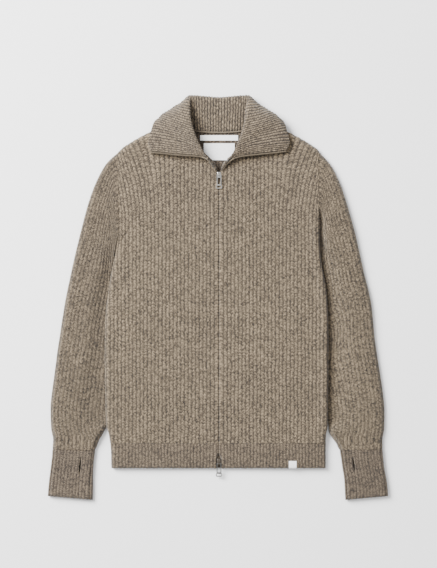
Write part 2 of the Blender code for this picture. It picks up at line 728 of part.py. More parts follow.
def zip_row(side):
    """Open half of the zip along the collar's front edge."""
    sections = collar_sections()
    run = 0.0 if side < 0 else sections[-1][0]
    rings = []
    for k in range(15):
        place_across = 5.0 + 2.9 * k / 14
        here = collar_point(sections, run, place_across)
        ahead = (collar_point(sections, run, place_across + 0.1)
                 - collar_point(sections, run, place_across - 0.1)).normalized()
        up = collar_normal(sections, run, place_across)
        away = up.cross(ahead).normalized() * -side
        centre = here + away * 2.2 - up * COLLAR_WALL / 2
        wide, high = away * 1.5, up * 0.9
        rings.append([centre - wide - high, centre + wide - high, centre + wide + high, centre - wide + high])
    mesh = bmesh.new()
    rows = grid_faces(mesh, rings, True)
    mesh.faces.new(rows[0])
    mesh.faces.new(rows[-1])
    return place("zip_row_left" if side < 0 else "zip_row_right", mesh, tape_cloth())


SLIDER_WIDTH = 8.0
SLIDER_LENGTH = 12.6
SLIDER_TOP_Z = PULL_HINGE_Z - 1.9
SLIDER_EDGE = 1.3         # radius of the slider's edges
LOOP_STEPS = 16           # facets round the slider's loop
LOOP_BORE = 1.7           # radius
LOOP_OUTSIDE = 2.7
LOOP_HALF_WIDTH = 1.2


def slider(name, hinge_y, set_back):
    """Slider body with a loop on top, which the pull's bar passes through."""
    low_z = TAPE_TOP_Z + SEAM_GAP
    item = block(name, (ZIP_LINE_X - SLIDER_WIDTH / 2, hinge_y + set_back - SLIDER_LENGTH / 2, low_z),
                 (ZIP_LINE_X + SLIDER_WIDTH / 2, hinge_y + set_back + SLIDER_LENGTH / 2, SLIDER_TOP_Z),
                 zip_metal(), bevel=SLIDER_EDGE)
    loop_mesh = bmesh.new()
    rings = []
    for k in range(LOOP_STEPS + 1):
        turn = 2 * math.pi * k / LOOP_STEPS
        ring = []
        for across, radius in ((-1, LOOP_BORE), (1, LOOP_BORE), (1, LOOP_OUTSIDE), (-1, LOOP_OUTSIDE)):
            ring.append((across * LOOP_HALF_WIDTH, radius * math.cos(turn), radius * math.sin(turn)))
        rings.append(ring)
    grid_faces(loop_mesh, rings, True)
    bmesh.ops.remove_doubles(loop_mesh, verts=loop_mesh.verts, dist=0.00002)
    bmesh.ops.recalc_face_normals(loop_mesh, faces=loop_mesh.faces[:])
    data = bpy.data.meshes.new(name + "_loop")
    loop_mesh.to_mesh(data)
    loop_mesh.free()
    loop = bpy.data.objects.new(name + "_loop", data)
    loop.location = Vector((ZIP_LINE_X, hinge_y, PULL_HINGE_Z)) * MM
    loop.hide_render = True
    loop.display_type = "WIRE"
    cutters.objects.link(loop)
    join = item.modifiers.new("loop", "BOOLEAN")
    join.operation = "UNION"
    join.object = loop
    return item


PULL_OUTLINE = [(-4.6, 0.8), (-4.6, -20.0), (-6.2, -22.5), (-6.4, -25.2), (-4.6, -27.6), (4.6, -27.6),
                (6.4, -25.2), (6.2, -22.5), (4.6, -20.0), (4.6, 0.8)]
PULL_WINDOW = [(-3.0, -0.8), (-3.0, -18.6), (3.0, -18.6), (3.0, -0.8)]
PULL_LOOP = [(-4.4, -21.6), (-4.8, -24.6), (-3.8, -25.9), (3.8, -25.9), (4.8, -24.6), (4.4, -21.6)]
PULL_THICKNESS = 1.5


def pull_tab(name, hinge_y, slope):
    """Wire-frame pull: a bar through the slider's loop, a long window, a flared end."""
    outline = bpy.data.curves.new(name, "CURVE")
    outline.dimensions = "2D"
    outline.fill_mode = "BOTH"
    outline.extrude = PULL_THICKNESS / 2 * MM
    for points in (PULL_OUTLINE, PULL_WINDOW, PULL_LOOP):
        line = outline.splines.new("POLY")
        line.points.add(len(points) - 1)
        for spot, (x, y) in zip(line.points, points):
            spot.co = (x * MM, y * MM, 0, 1)
        line.use_cyclic_u = True
    sketch = bpy.data.objects.new(name + "_sketch", outline)
    garment.objects.link(sketch)
    graph = bpy.context.evaluated_depsgraph_get()
    data = bpy.data.meshes.new_from_object(sketch.evaluated_get(graph))
    bpy.data.objects.remove(sketch, do_unlink=True)
    mesh = bmesh.new()
    mesh.from_mesh(data)
    bmesh.ops.remove_doubles(mesh, verts=mesh.verts, dist=0.00002)
    item = place(name, mesh, zip_metal())
    item.location = Vector((ZIP_LINE_X, hinge_y, PULL_HINGE_Z)) * MM
    item.rotation_euler.x = math.radians(slope)
    return item


# ---- labels ----
def hem_flag():
    """Folded tab sewn in at the hem's lower edge, following its round edge."""
    x_low, x_high = 139.6, 154.8
    ys = [-326.5, -329.0, -332.0, -335.0, -337.5, -339.5, HEM_BOTTOM_Y - 0.2]
    rows_out, rows_in = [], []
    for y in ys:
        z = hem_height(147.0, max(y, HEM_BOTTOM_Y), 1) + FINE_RIB * RIB_HEIGHT + SEAM_GAP + 0.1
        rows_in.append([at(1, x_low, y, z), at(1, x_high, y, z)])
        rows_out.append([at(1, x_low, y, z + 0.8), at(1, x_high, y, z + 0.8)])
    return wall("hem_flag", rows_out, rows_in, label_cloth())


def labels():
    """Bare woven labels on the inside of the back, and the tab on the hem."""
    low_z = BACK_WALL + SEAM_GAP
    block("neck_label", (ZIP_LINE_X - 30.6, 275.3, low_z), (ZIP_LINE_X + 31.2, 309.0, low_z + 0.7),
          label_cloth())
    block("strip_label", (ZIP_LINE_X - 38.0, 314.6, low_z), (ZIP_LINE_X + 38.0, 325.2, low_z + 0.7),
          label_cloth())
    hem_flag()


def build():
    clear_scene()
    for side in (-1, 1):
        front_panel(side)
        hem_front(side)
        sleeve(side)
        cuff_front(side)
        cuff_back(side)
        zip_row(side)
    back_panel()
    hem_back()
    collar()
    zip_tapes_and_chain()
    slider("slider_top", SLIDER_TOP_Y, 0.0)
    slider("slider_bottom", SLIDER_BOTTOM_Y, 3.3)
    pull_tab("pull_top", SLIDER_TOP_Y, 0.0)
    pull_tab("pull_bottom", SLIDER_BOTTOM_Y, BOTTOM_PULL_SLOPE)
    labels()


build()
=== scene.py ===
"""Visual model of a heavy ribbed wool cardigan with a zip front, laid flat.

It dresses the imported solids. Lengths are millimetres, measured from the zip line
(x) and from the middle of the laid-out height (y), and turned to metres at the end.
"""
import math
from collections import namedtuple

import bmesh
import bpy
import numpy as np
from mathutils import Matrix, Vector


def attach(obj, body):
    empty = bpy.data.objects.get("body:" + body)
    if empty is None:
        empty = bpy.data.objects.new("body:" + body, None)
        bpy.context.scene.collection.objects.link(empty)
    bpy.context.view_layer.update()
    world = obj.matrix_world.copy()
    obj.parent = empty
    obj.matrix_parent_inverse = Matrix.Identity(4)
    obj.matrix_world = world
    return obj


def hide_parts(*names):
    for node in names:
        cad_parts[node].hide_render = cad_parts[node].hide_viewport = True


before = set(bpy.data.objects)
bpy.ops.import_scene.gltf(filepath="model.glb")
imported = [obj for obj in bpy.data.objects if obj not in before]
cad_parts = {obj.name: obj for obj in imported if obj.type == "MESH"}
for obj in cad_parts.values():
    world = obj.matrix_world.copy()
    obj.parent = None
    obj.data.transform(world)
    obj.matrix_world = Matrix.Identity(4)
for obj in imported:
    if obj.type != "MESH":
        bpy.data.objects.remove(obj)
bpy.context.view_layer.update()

# ---- Fronts ----
# The two fronts of the body, in thick fisherman's rib of a marled beige and brown wool.
# Each is one knitted panel, shaped along the neck and the shoulder, with its ribs upright
# and fanning out towards the shoulder. It is sewn to the zip tape, the back and the sleeve.
MM = 0.001
ZIP_LINE_X = 2.2          # the left sleeve is laid 4.4 further out than the right one
CLOTH = 4.5               # thickness of the rib
INNER_LIP_Z = 4.8         # underside of the upper layer, on the back panel
EDGE_LIP_Z = 6.0
HEM_TOP_Y = -292.0
HEM_BOTTOM_Y = -341.0
SEAM_GAP = 0.3            # between the edges of two panels
NECK_X = 80.0             # high point of the shoulder
FIRST_X = 2.0             # where the fronts' columns start, from the zip line
SHOULDER_TIP_X = 202.0
UNDERARM_Y = 123.0

Side = namedtuple("Side", "y left right")
SIDES = [
    Side(-341, 214.5, 212.5), Side(-300, 216.0, 212.5), Side(-275, 219.5, 213.5), Side(-257, 224.5, 216.5),
    Side(-205, 226.8, 217.3), Side(-120, 228.0, 218.0), Side(-40, 226.5, 217.3), Side(15, 220.6, 213.6),
    Side(65, 212.0, 205.0), Side(95, 206.0, 200.9), Side(UNDERARM_Y, 201.0, 200.0),
]
Edge = namedtuple("Edge", "y x closed")
FRONT_EDGE = [            # the edges meet over the zip, and part round its two sliders
    Edge(-341, 4.2, 0), Edge(-322, 4.0, 0), Edge(-312, 1.1, 1), Edge(-300, 0.8, 1),
    Edge(218, 0.8, 1), Edge(229, 1.6, 1), Edge(236, 4.4, 0), Edge(252, 4.6, 0),
]
Top = namedtuple("Top", "x y")
SHOULDER = [Top(80, 359), Top(134, 332), Top(145, 327), Top(167, 315), Top(186, 303), Top(204, 290)]
FRONT_NECK = [Top(2, 251), Top(5.5, 254.4), Top(10, 260.2), Top(15, 267.5), Top(20, 272.8), Top(26, 277.2),
              Top(33, 279.6), Top(46, 281.8), Top(54, 291.5), Top(68, 313), Top(77, 337), Top(80, 359)]
Swell = namedtuple("Swell", "height middle width")   # a soft ridge, or a dip where it is taken off
RIGHT_NECK_DIP = Swell(1.6, 22.0, 14.0)
SIDE_RIDGE = Swell(4.2, 7.0, 9.0)         # the roll along the body's right side, from its edge

FRONT_COLUMNS, FRONT_ROWS = 174, 456
BODY_RIB = 7.4            # width of one rib
EDGE_RIB = 9.6            # how far the first rib reaches from the zip line
STITCH = 5.6              # height of one stitch
BODY_RELIEF = 1.5         # a rib's ridge over its valley
ZIP_EDGE_ROUND = 3.5      # how far in from the zip the cloth's edge rounds down
ZIP_EDGE_ARC = 5.0        # length of the cloth over that rounding
ZIP_EDGE_LIFT = 0.4       # height of the turned edge above the lip of the layer below
ZIP_CLOSED_LIFT = 3.5     # how much higher it lies where the zip is closed
Rounding = namedtuple("Rounding", "width arc")
SIDE_ROUND = {-1: Rounding(12.0, 14.5), 1: Rounding(4.0, 7.5)}
TOP_BAND = 14.0           # depth of the rounding along the shoulder
TOP_BAND_ARC = 15.5       # length of the cloth over that rounding
PANEL_LENGTH = 600.0      # of a front, near its middle
AIR_AT_ZIP = 1.2          # between front and back
AIR_AT_SIDE = 1.5         # more than at the zip
FAN_REACH = 27.0          # how far the outermost rib leans at the shoulder
FAN_START_Y = 165.0
FAN_HEIGHT = 125.0


def through(xs, ys, x):
    """Cubic through the points (xs, ys), flat beyond its ends, for a number or an array."""
    xs, ys = np.asarray(xs, float), np.asarray(ys, float)
    x = np.clip(x, xs[0], xs[-1])
    slopes = np.empty(len(xs))
    slopes[1:-1] = (ys[2:] - ys[:-2]) / (xs[2:] - xs[:-2])
    slopes[0] = (ys[1] - ys[0]) / (xs[1] - xs[0])
    slopes[-1] = (ys[-1] - ys[-2]) / (xs[-1] - xs[-2])
    k = np.clip(np.searchsorted(xs, x, side="right") - 1, 0, len(xs) - 2)
    step = xs[k + 1] - xs[k]
    t = (x - xs[k]) / step
    return ((2 * t**3 - 3 * t**2 + 1) * ys[k] + (t**3 - 2 * t**2 + t) * step * slopes[k]
            + (3 * t**2 - 2 * t**3) * ys[k + 1] + (t**3 - t**2) * step * slopes[k + 1])


def clamp(x):
    return np.clip(x, 0, 1)


def ease(low, high, x):
    """From 0 at low to 1 at high, with a soft start and end."""
    t = clamp((x - low) / (high - low))
    return t * t * (3 - 2 * t)


def swell(shape, x):
    return shape.height * np.exp(-((x - shape.middle) / shape.width) ** 2)


def at(side, x):
    """The place across of a point at a distance from the zip line."""
    return ZIP_LINE_X + side * x


def steps(count):
    return np.linspace(0.0, 1.0, count + 1)


def side_x(side, y):
    """Distance of the body's side edge from the zip line."""
    return through([row.y for row in SIDES], [row.left if side < 0 else row.right for row in SIDES], y)


def top_line(neck, x):
    """Height of a panel's top: its neck line, then the shoulder."""
    neck, shoulder = (through([p.x for p in line], [p.y for p in line], x) for line in (neck, SHOULDER))
    return np.where(x < NECK_X, neck, shoulder)


def front_top(side, x):
    return top_line(FRONT_NECK, x) - (swell(RIGHT_NECK_DIP, x) * (x < NECK_X) if side > 0 else 0)


def front_edge(y):
    """Distance of the front's edge from the zip line, and how far it is closed over the zip."""
    ys = [p.y for p in FRONT_EDGE]
    return np.interp(y, ys, [p.x for p in FRONT_EDGE]), np.interp(y, ys, [p.closed for p in FRONT_EDGE])


def slack(x, y):
    """Air between front and back: the cloth lies closest along the zip."""
    return (AIR_AT_ZIP + AIR_AT_SIDE * ease(10, 150, np.abs(x))
            + 0.35 * np.sin(y / 61.0 + x / 83.0) * ease(20, 90, np.abs(x)))


def fan(x, y):
    """How far the ribs near the armhole lean outwards towards the shoulder."""
    return FAN_REACH * np.clip((y - FAN_START_Y) / FAN_HEIGHT, 0.0, 1.2) ** 1.5 * ease(85, 195, x)


Pull = namedtuple("Pull", "height start end width")


def groove(pull, x, y):
    """A crease or swell along a line across the cloth, faded out past its two ends."""
    start, end = pull.start, pull.end
    run, rise = end[0] - start[0], end[1] - start[1]
    length = math.hypot(run, rise)
    along = ((x - start[0]) * run + (y - start[1]) * rise) / length**2
    off = ((x - start[0]) * rise - (y - start[1]) * run) / length
    return pull.height * np.exp(-(off / pull.width) ** 2) * ease(-0.15, 0.2, along) * ease(1.15, 0.7, along)


# the side is a flat sewn edge above the first height and a round fold below the second
UNDERARM_FOLD = {-1: (UNDERARM_Y - 5, UNDERARM_Y - 70), 1: (UNDERARM_Y + 30, UNDERARM_Y - 15)}
LEFT_PULL = Pull(1.6, (196, 112), (177, 143), 2.2)
RIGHT_SWELL = Pull(1.8, (196, 108), (177, 190), 4.0)


def creases(side, x, y):
    """Rolls in the laid cloth: faint waves, underarm pulls and the roll along the right side."""
    waves = 0.5 * np.sin(x / 34.0 + y / 58.0 + side) * np.sin(y / 97.0 - x / 140.0)
    lift = waves * ease(15, 60, x) * ease(300, 240, y)
    if side < 0:
        return lift - groove(LEFT_PULL, x, y)
    lift = lift + groove(RIGHT_SWELL, x, y)
    return lift + swell(SIDE_RIDGE, side_x(side, y) - x) * ease(185, 110, y) * ease(-300, -255, y)


STITCH_SLANT = 0.38       # how far the stitches' arms slant over half a rib, in stitches


def knit(wale, course):
    """Relief of ribbed stitches from 0 to 1, at a place counted in ribs and in stitch rows.

    Every other rib is half a stitch up, and no two stitches are quite as full.
    """
    rib = np.floor(wale)
    across = np.abs(wale - rib - 0.5) * 2.0
    row = course + 0.5 * rib + STITCH_SLANT * across
    ridge = np.cos(across * math.pi / 2) ** 0.7
    arms = 0.5 - 0.5 * np.cos(2 * math.pi * row)
    fullness = np.modf(np.abs(np.sin(rib * 12.9898 + np.floor(row) * 78.233)) * 437.585)[0]
    return ridge * (0.62 + 0.38 * arms) * (0.74 + 0.26 * fullness)


def sway(x, y):
    """Small drift of the stitch rows and of the ribs, in stitches and in ribs."""
    rows = 0.45 * np.sin(x / 9.1 + y / 23.0) * np.sin(y / 13.7 - x / 31.0) + 0.3 * np.sin(x / 47.0)
    ribs = 0.05 * np.sin(y / 17.0 + x / 29.0) + 0.03 * np.sin(y / 7.3 - x / 11.0)
    return rows, ribs


def unit(vectors):
    return vectors / np.maximum(np.linalg.norm(vectors, axis=-1, keepdims=True), 1e-9)


def knitted_face(name, us, vs, place, relief, raised=None):
    """A mesh of one face of cloth. place(u, v) gives x, y, z, wale and course.

    The relief is laid on along the cloth's own normal, only where raised(u, v) is true. A face
    with relief looks up and a plain one looks down.
    """
    columns, rows = len(us), len(vs)
    made = bmesh.new()
    bmesh.ops.create_grid(made, x_segments=columns - 1, y_segments=rows - 1, size=0.5)
    data = bpy.data.meshes.new(name)
    made.to_mesh(data)
    made.free()
    u, v = np.meshgrid(us, vs)
    x, y, z, wale, course = np.broadcast_arrays(*place(u, v))
    rows_drift, ribs_drift = sway(x, y)
    wale, course = wale + ribs_drift, course + rows_drift
    spots = np.stack([x, y, z], axis=-1).astype(float)
    normals = unit(np.cross(np.gradient(spots, axis=1), np.gradient(spots, axis=0)))
    if (np.sum(normals[..., 2]) > 0) != (relief > 0):
        normals = -normals
        data.flip_normals()
    if relief:
        height = relief * knit(wale, course)
        if raised is not None:
            height = height * raised(u, v)
        spots += normals * height[..., None]
        spots[..., 2] = np.maximum(spots[..., 2], 0.0)
    data.vertices.foreach_set("co", (spots * MM).reshape(-1))
    corners = np.empty(len(data.loops), dtype=np.int32)
    data.loops.foreach_get("vertex_index", corners)
    flat = np.stack([wale, course], axis=-1).reshape(-1, 2)
    data.uv_layers.new(name="knit").data.foreach_set("uv", flat[corners].astype(np.float32).reshape(-1))
    data.update()
    return data


def finished(name, made, surface, smooth=True):
    """One object in the scene from a bmesh, in one material."""
    data = bpy.data.meshes.new(name)
    made.to_mesh(data)
    made.free()
    if smooth:
        data.shade_smooth()
    data.materials.append(surface)
    item = bpy.data.objects.new(name, data)
    bpy.context.scene.collection.objects.link(item)
    return item


def piece_of_cloth(name, faces, surface, close=True, weld=0.0):
    """One object from meshed faces of cloth. Their free edges are bridged to close the wall."""
    made = bmesh.new()
    for data in faces:
        made.from_mesh(data)
        bpy.data.meshes.remove(data)
    if weld:
        bmesh.ops.remove_doubles(made, verts=made.verts, dist=weld * MM)
    if close:
        bmesh.ops.bridge_loops(made, edges=[e for e in made.edges if e.is_boundary])
        bmesh.ops.recalc_face_normals(made, faces=made.faces)
    return finished(name, made, surface)


def across_front(side, u, y, folded=1.0):
    """Places across the upper layer, from the zip's edge (u = 0) to the side (u = 1).

    The cloth turns down at both. Where it isn't folded, its side is a flat edge. It gives x,
    how far the zip is closed, both turns, and the way along the cloth.
    """
    edge, closed = front_edge(y)
    rounding = SIDE_ROUND[side]
    width = side_x(side, y) - edge
    length = ZIP_EDGE_ARC + width - ZIP_EDGE_ROUND - rounding.width + rounding.arc
    along = u * length
    zip_turn = (1 - clamp(along / ZIP_EDGE_ARC)) * math.pi / 2
    side_share = clamp((along - (length - rounding.arc)) / rounding.arc)
    round_share = side_share + (np.sin(side_share * math.pi / 2) - side_share) * folded
    flat = along - ZIP_EDGE_ARC
    x = (edge + ZIP_EDGE_ROUND * (1 - np.sin(zip_turn))
         + np.clip(flat, 0, length - ZIP_EDGE_ARC - rounding.arc) + rounding.width * round_share)
    return x, closed, zip_turn, side_share, edge + ZIP_EDGE_ROUND + flat


def front_face(side):
    """The shown face of a front, from the hem's seam (v = 0) to the neck and shoulder (v = 1)."""
    band = 1.0 - TOP_BAND_ARC / PANEL_LENGTH

    def place(u, v):
        top = front_top(side, FIRST_X + u * (SHOULDER_TIP_X - FIRST_X))
        bottom = HEM_TOP_Y + SEAM_GAP
        turn = clamp((v - band) / (1 - band)) * math.pi / 2
        y = np.where(v < band, bottom + v / band * (top - TOP_BAND - bottom),
                     top - TOP_BAND + TOP_BAND * np.sin(turn))
        folded = ease(*UNDERARM_FOLD[side], y)
        x, closed, zip_turn, side_share, from_zip = across_front(side, u, y, folded)
        height = INNER_LIP_Z + slack(x, y) + CLOTH
        sunk = height - 0.5 * clamp(1 - (side_x(side, y) - x) / 6.0) ** 2
        rounded = EDGE_LIP_Z + (height - EDGE_LIP_Z) * np.cos(side_share * math.pi / 2)
        z = rounded * folded + sunk * (1 - folded)
        low = INNER_LIP_Z + ZIP_EDGE_LIFT + ZIP_CLOSED_LIFT * closed
        z = low + (z - low) * np.cos(zip_turn)
        at_shoulder = ease(NECK_X - 4, NECK_X + 12, x)
        z = z + (EDGE_LIP_Z + (z - EDGE_LIP_Z) * np.cos(turn) - z) * at_shoulder
        z = z + creases(side, x, y)
        from_zip = from_zip - fan(x, y)
        wale = np.where(from_zip < EDGE_RIB, 0.15 + 0.85 * np.clip(from_zip, 0, None) / EDGE_RIB,
                        1 + (from_zip - EDGE_RIB) / BODY_RIB)
        return at(side, x), y, z, wale, y / STITCH
    return place


LIP_SHARE = 0.02          # share of the underside's columns that makes the step beside the zip


def underside_columns(count):
    return np.concatenate([[0.0, LIP_SHARE / 2], LIP_SHARE + (1 - LIP_SHARE) * steps(count)])


def across_underside(side, u, y):
    """Places across the upper layer's underside, where it is the step, and how far that is closed."""
    edge, closed = front_edge(y)
    beyond_zip = np.maximum(2.5, edge + 0.1)
    in_step = u < 0.75 * LIP_SHARE
    flat_share = (u - LIP_SHARE) / (1 - LIP_SHARE)
    x = np.where(in_step, edge + (beyond_zip - edge) * u / (LIP_SHARE / 2),
                 beyond_zip + 0.1 + flat_share * (side_x(side, y) - beyond_zip - 0.1))
    return x, in_step, closed


def front_underside(side):
    def place(u, v):
        top = front_top(side, FIRST_X + u * (SHOULDER_TIP_X - FIRST_X))
        y = HEM_TOP_Y + SEAM_GAP + v * (top - HEM_TOP_Y - SEAM_GAP)
        x, in_step, closed = across_underside(side, u, y)
        inside = np.minimum(ease(0, 0.12, 1 - u), ease(0, 0.05, 1 - v))
        z = np.where(in_step, INNER_LIP_Z + 3.7 * closed, INNER_LIP_Z + slack(x, y) * inside)
        return at(side, x), y, z, x / BODY_RIB, y / STITCH
    return place


def new_material(name, roughness):
    """A material, its shader, its nodes and its links."""
    made = bpy.data.materials.new(name)
    made.use_nodes = True
    nodes, links = made.node_tree.nodes, made.node_tree.links
    shader = nodes["Principled BSDF"]
    shader.inputs["Roughness"].default_value = roughness
    return made, shader, nodes, links


FLECK_SCALE = 560.0
FIBRE_SCALE = 1700.0
PATCH_SCALE = 22.0


def wool(name, light, dark, pit_shade=1.0, even=0.1, marled=1.0):
    """Marled wool: a flecked twist of two yarns, darker in the valleys and between the stitches.

    The knit's own map counts ribs across and stitch rows up, as knit() does. The valleys and the
    gaps between stitches are darkened as painted shade, stitch by stitch by pits and all along
    by even. marled is how much stitches differ.
    """
    made, shader, nodes, links = new_material(name, 0.92)
    shader.inputs["Specular IOR Level"].default_value = 0.2
    shader.inputs["Sheen Weight"].default_value = 0.2
    shader.inputs["Sheen Roughness"].default_value = 0.6

    def feed(node, values):
        for socket, value in zip(node.inputs, values):
            if isinstance(value, (int, float)):
                socket.default_value = value
            else:
                links.new(value, socket)
        return node

    def calc(operation, *values):
        node = nodes.new("ShaderNodeMath")
        node.operation = operation
        return feed(node, values).outputs[0]

    def ranged(value, low, high, to_low=0.0, to_high=1.0):
        node = nodes.new("ShaderNodeMapRange")
        node.interpolation_type = "SMOOTHSTEP"
        return feed(node, (value, low, high, to_low, to_high)).outputs["Result"]

    def chance(x, y):
        node = nodes.new("ShaderNodeTexWhiteNoise")
        node.noise_dimensions = "2D"
        links.new(feed(nodes.new("ShaderNodeCombineXYZ"), (x, y)).outputs["Vector"], node.inputs["Vector"])
        return node.outputs["Value"]

    def noise(scale, detail):
        node = nodes.new("ShaderNodeTexNoise")
        node.inputs["Scale"].default_value = scale
        node.inputs["Detail"].default_value = detail
        links.new(position, node.inputs["Vector"])
        return node.outputs["Fac"]

    knit_map = nodes.new("ShaderNodeUVMap")
    knit_map.uv_map = "knit"
    split = nodes.new("ShaderNodeSeparateXYZ")
    links.new(knit_map.outputs["UV"], split.inputs["Vector"])
    wale, course = split.outputs["X"], split.outputs["Y"]
    position = nodes.new("ShaderNodeTexCoord").outputs["Object"]

    rib = calc("FLOOR", wale)
    off_ridge = calc("ABSOLUTE", calc("SUBTRACT", calc("SUBTRACT", wale, rib), 0.5))
    across = calc("MULTIPLY", off_ridge, 2.0)
    row = calc("ADD", calc("ADD", course, calc("MULTIPLY", rib, 0.5)),
               calc("MULTIPLY", across, STITCH_SLANT))
    off_stitch = calc("ABSOLUTE", calc("SUBTRACT", calc("FRACT", row), 0.5))
    # painted shade: the gaps between stitches, the rib valleys and the pits in them are darkened in the
    # colour
    between = ranged(off_stitch, 0.24, 0.5)
    valley = ranged(across, 0.4, 0.9)
    stitch = chance(calc("FLOOR", calc("MULTIPLY", wale, 2.0)), calc("FLOOR", calc("MULTIPLY", row, 2.0)))
    stitch = ranged(stitch, 0.1, 0.9, 0.5 - 0.5 * marled, 0.5 + 0.5 * marled)
    pit = chance(calc("FLOOR", calc("ADD", wale, 0.5)), calc("FLOOR", row))
    pit = calc("MULTIPLY", ranged(pit, 0.0, 1.0, 0.4, 1.0), ranged(off_stitch, 0.1, 0.42, 0.35, 1.0))

    fleck = ranged(noise(FLECK_SCALE, 2.0), 0.4, 0.6)
    fibre = noise(FIBRE_SCALE, 1.0)
    tone = calc("ADD", calc("MULTIPLY", stitch, 0.5), calc("MULTIPLY", fleck, 0.5))
    marl = nodes.new("ShaderNodeMix")
    marl.data_type = "RGBA"
    marl.inputs[6].default_value = (*dark, 1.0)
    marl.inputs[7].default_value = (*light, 1.0)
    links.new(tone, marl.inputs[0])

    # painted shade: the colour is darkened in the valleys and between the stitches
    sunk = calc("MULTIPLY", valley, calc("ADD", even, calc("MULTIPLY", pit, 0.85 * pit_shade - even)))
    shade = calc("MULTIPLY", calc("SUBTRACT", 1.0, sunk),
                 calc("SUBTRACT", 1.0, calc("MULTIPLY", between, 0.3 * pit_shade)))
    broad = ranged(noise(PATCH_SCALE, 2.0), 0.3, 0.7, 0.93, 1.07)
    shaded = nodes.new("ShaderNodeVectorMath")
    shaded.operation = "SCALE"
    links.new(marl.outputs[2], shaded.inputs[0])
    links.new(calc("MULTIPLY", shade, broad), shaded.inputs["Scale"])
    links.new(shaded.outputs["Vector"], shader.inputs["Base Color"])

    fibres = nodes.new("ShaderNodeBump")
    fibres.inputs["Strength"].default_value = 0.7
    fibres.inputs["Distance"].default_value = 0.0006
    links.new(calc("ADD", calc("MULTIPLY", fibre, 0.6), calc("MULTIPLY", between, -1.0)),
              fibres.inputs["Height"])
    links.new(fibres.outputs["Normal"], shader.inputs["Normal"])
    return made


body_wool = wool("body_wool", (0.204, 0.154, 0.097), (0.019, 0.0128, 0.0073), pit_shade=1.04, even=0.3)
for side, name in ((-1, "front_left"), (1, "front_right")):
    front = piece_of_cloth(f"knit_{name}", [
        knitted_face(name, steps(FRONT_COLUMNS), steps(FRONT_ROWS), front_face(side), BODY_RELIEF),
        knitted_face(f"{name}_under", underside_columns(6), steps(38), front_underside(side), 0),
    ], body_wool)
    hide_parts(name)
    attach(front, "garment")

# ---- Back ----
# One panel of the same rib under both fronts, with a shallower neck. Its inside shows in
# the neck, behind the labels. Its outside lies flat on the floor.
ARMHOLE_TUCK = 1.6        # how far the seam allowance reaches into the sleeve
BACK_INSIDE_Z = 3.0
BACK_INSET = 2.5          # how far in the round side folds meet the floor
BACK_NECK = [Top(0, 331.5), Top(44, 333.5), Top(64, 341), Top(74, 349), Top(80, 359)]


def across_whole(share, y, inset):
    """Places across the whole body, for a share from -1 at the left side to 1 at the right."""
    return share * (np.where(share < 0, side_x(-1, y), side_x(1, y)) - inset)


def back_face(height, inset):
    def place(u, v):
        share = 2 * u - 1
        bottom = HEM_TOP_Y + SEAM_GAP
        y = bottom + v * (top_line(BACK_NECK, np.abs(share) * SHOULDER_TIP_X) - bottom)
        tuck = ARMHOLE_TUCK * ease(UNDERARM_Y + 4, UNDERARM_Y + 14, y) * ease(288, 278, y) * (height > 0)
        x = across_whole(share, y, inset - tuck)
        return ZIP_LINE_X + x, y, height, x / BODY_RIB, y / STITCH
    return place


# painted shade: the back's inside gets a darker, redder wool for the shade it lies in within the neck
shaded_back_wool = wool("shaded_back_wool", (0.120, 0.090, 0.062), (0.018, 0.0125, 0.0085))
NECK_SHARE = 0.84         # the rows are closer above this, where the neck shows them
back_rows = np.concatenate([np.linspace(0, NECK_SHARE, 60, endpoint=False),
                            np.linspace(NECK_SHARE, 1.0, 61)])
back = piece_of_cloth("knit_back", [
    knitted_face("back_inside", steps(236), back_rows, back_face(BACK_INSIDE_Z, 0.0), BODY_RELIEF),
    knitted_face("back_outside", steps(60), steps(60), back_face(0.0, BACK_INSET), 0),
], shaded_back_wool)
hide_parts("back")
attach(back, "garment")

# ---- Hem ----
# A finer rib knitted on below the body, in a front piece on each side of the zip and one
# across the back. The upper layer rounds over at the side seams and along its edge.
HEM_RIB = 6.5
FINE_STITCH = 4.6
HEM_RELIEF = 1.5
HEM_INSIDE_Z = 3.4
HEM_INSIDE_RELIEF = 1.1
HEM_EDGE = 0.12           # share of the hem that turns down at its edge
HEM_ROUND = 5.0           # how far in from the edge it turns
HEM_FLAT = 44.0           # depth of the rest
hem_wool = wool("hem_wool", (0.159, 0.119, 0.077), (0.019, 0.0130, 0.0085), pit_shade=0.9, even=0.35)


def hem_face(side):
    def place(u, v):
        turn = (1 - clamp(v / HEM_EDGE)) * math.pi / 2
        y = (HEM_BOTTOM_Y + HEM_ROUND * (1 - np.sin(turn))
             + clamp((v - HEM_EDGE) / (1 - HEM_EDGE)) * HEM_FLAT)
        x, closed, zip_turn, side_share, from_zip = across_front(side, u, y)
        height = INNER_LIP_Z + slack(x, y) * 0.9 + CLOTH
        z = EDGE_LIP_Z + (height - EDGE_LIP_Z) * np.cos(side_share * math.pi / 2)
        lowest = INNER_LIP_Z + ZIP_EDGE_LIFT
        low = lowest + 3.2 * closed
        z = low + (z - low) * np.cos(zip_turn)
        z = lowest + (z - lowest) * (0.15 + 0.85 * np.cos(turn))
        return at(side, x), y, z, 0.3 + from_zip / HEM_RIB, y / FINE_STITCH
    return place


def hem_underside(side):
    def place(u, v):
        y = HEM_BOTTOM_Y + v * (HEM_TOP_Y - HEM_BOTTOM_Y)
        x, in_step, closed = across_underside(side, u, y)
        z = np.where(in_step, INNER_LIP_Z + 3.4 * closed,
                     INNER_LIP_Z + slack(x, y) * ease(0, 0.12, 1 - u) * 0.85)
        return at(side, x), y, z, x / HEM_RIB, y / FINE_STITCH
    return place


for side, name in ((-1, "hem_front_left"), (1, "hem_front_right")):
    hem = piece_of_cloth(f"knit_{name}", [
        knitted_face(name, steps(198), steps(42), hem_face(side), HEM_RELIEF),
        knitted_face(f"{name}_under", underside_columns(16), steps(7), hem_underside(side), 0),
    ], hem_wool)
    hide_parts(name)
    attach(hem, "garment")


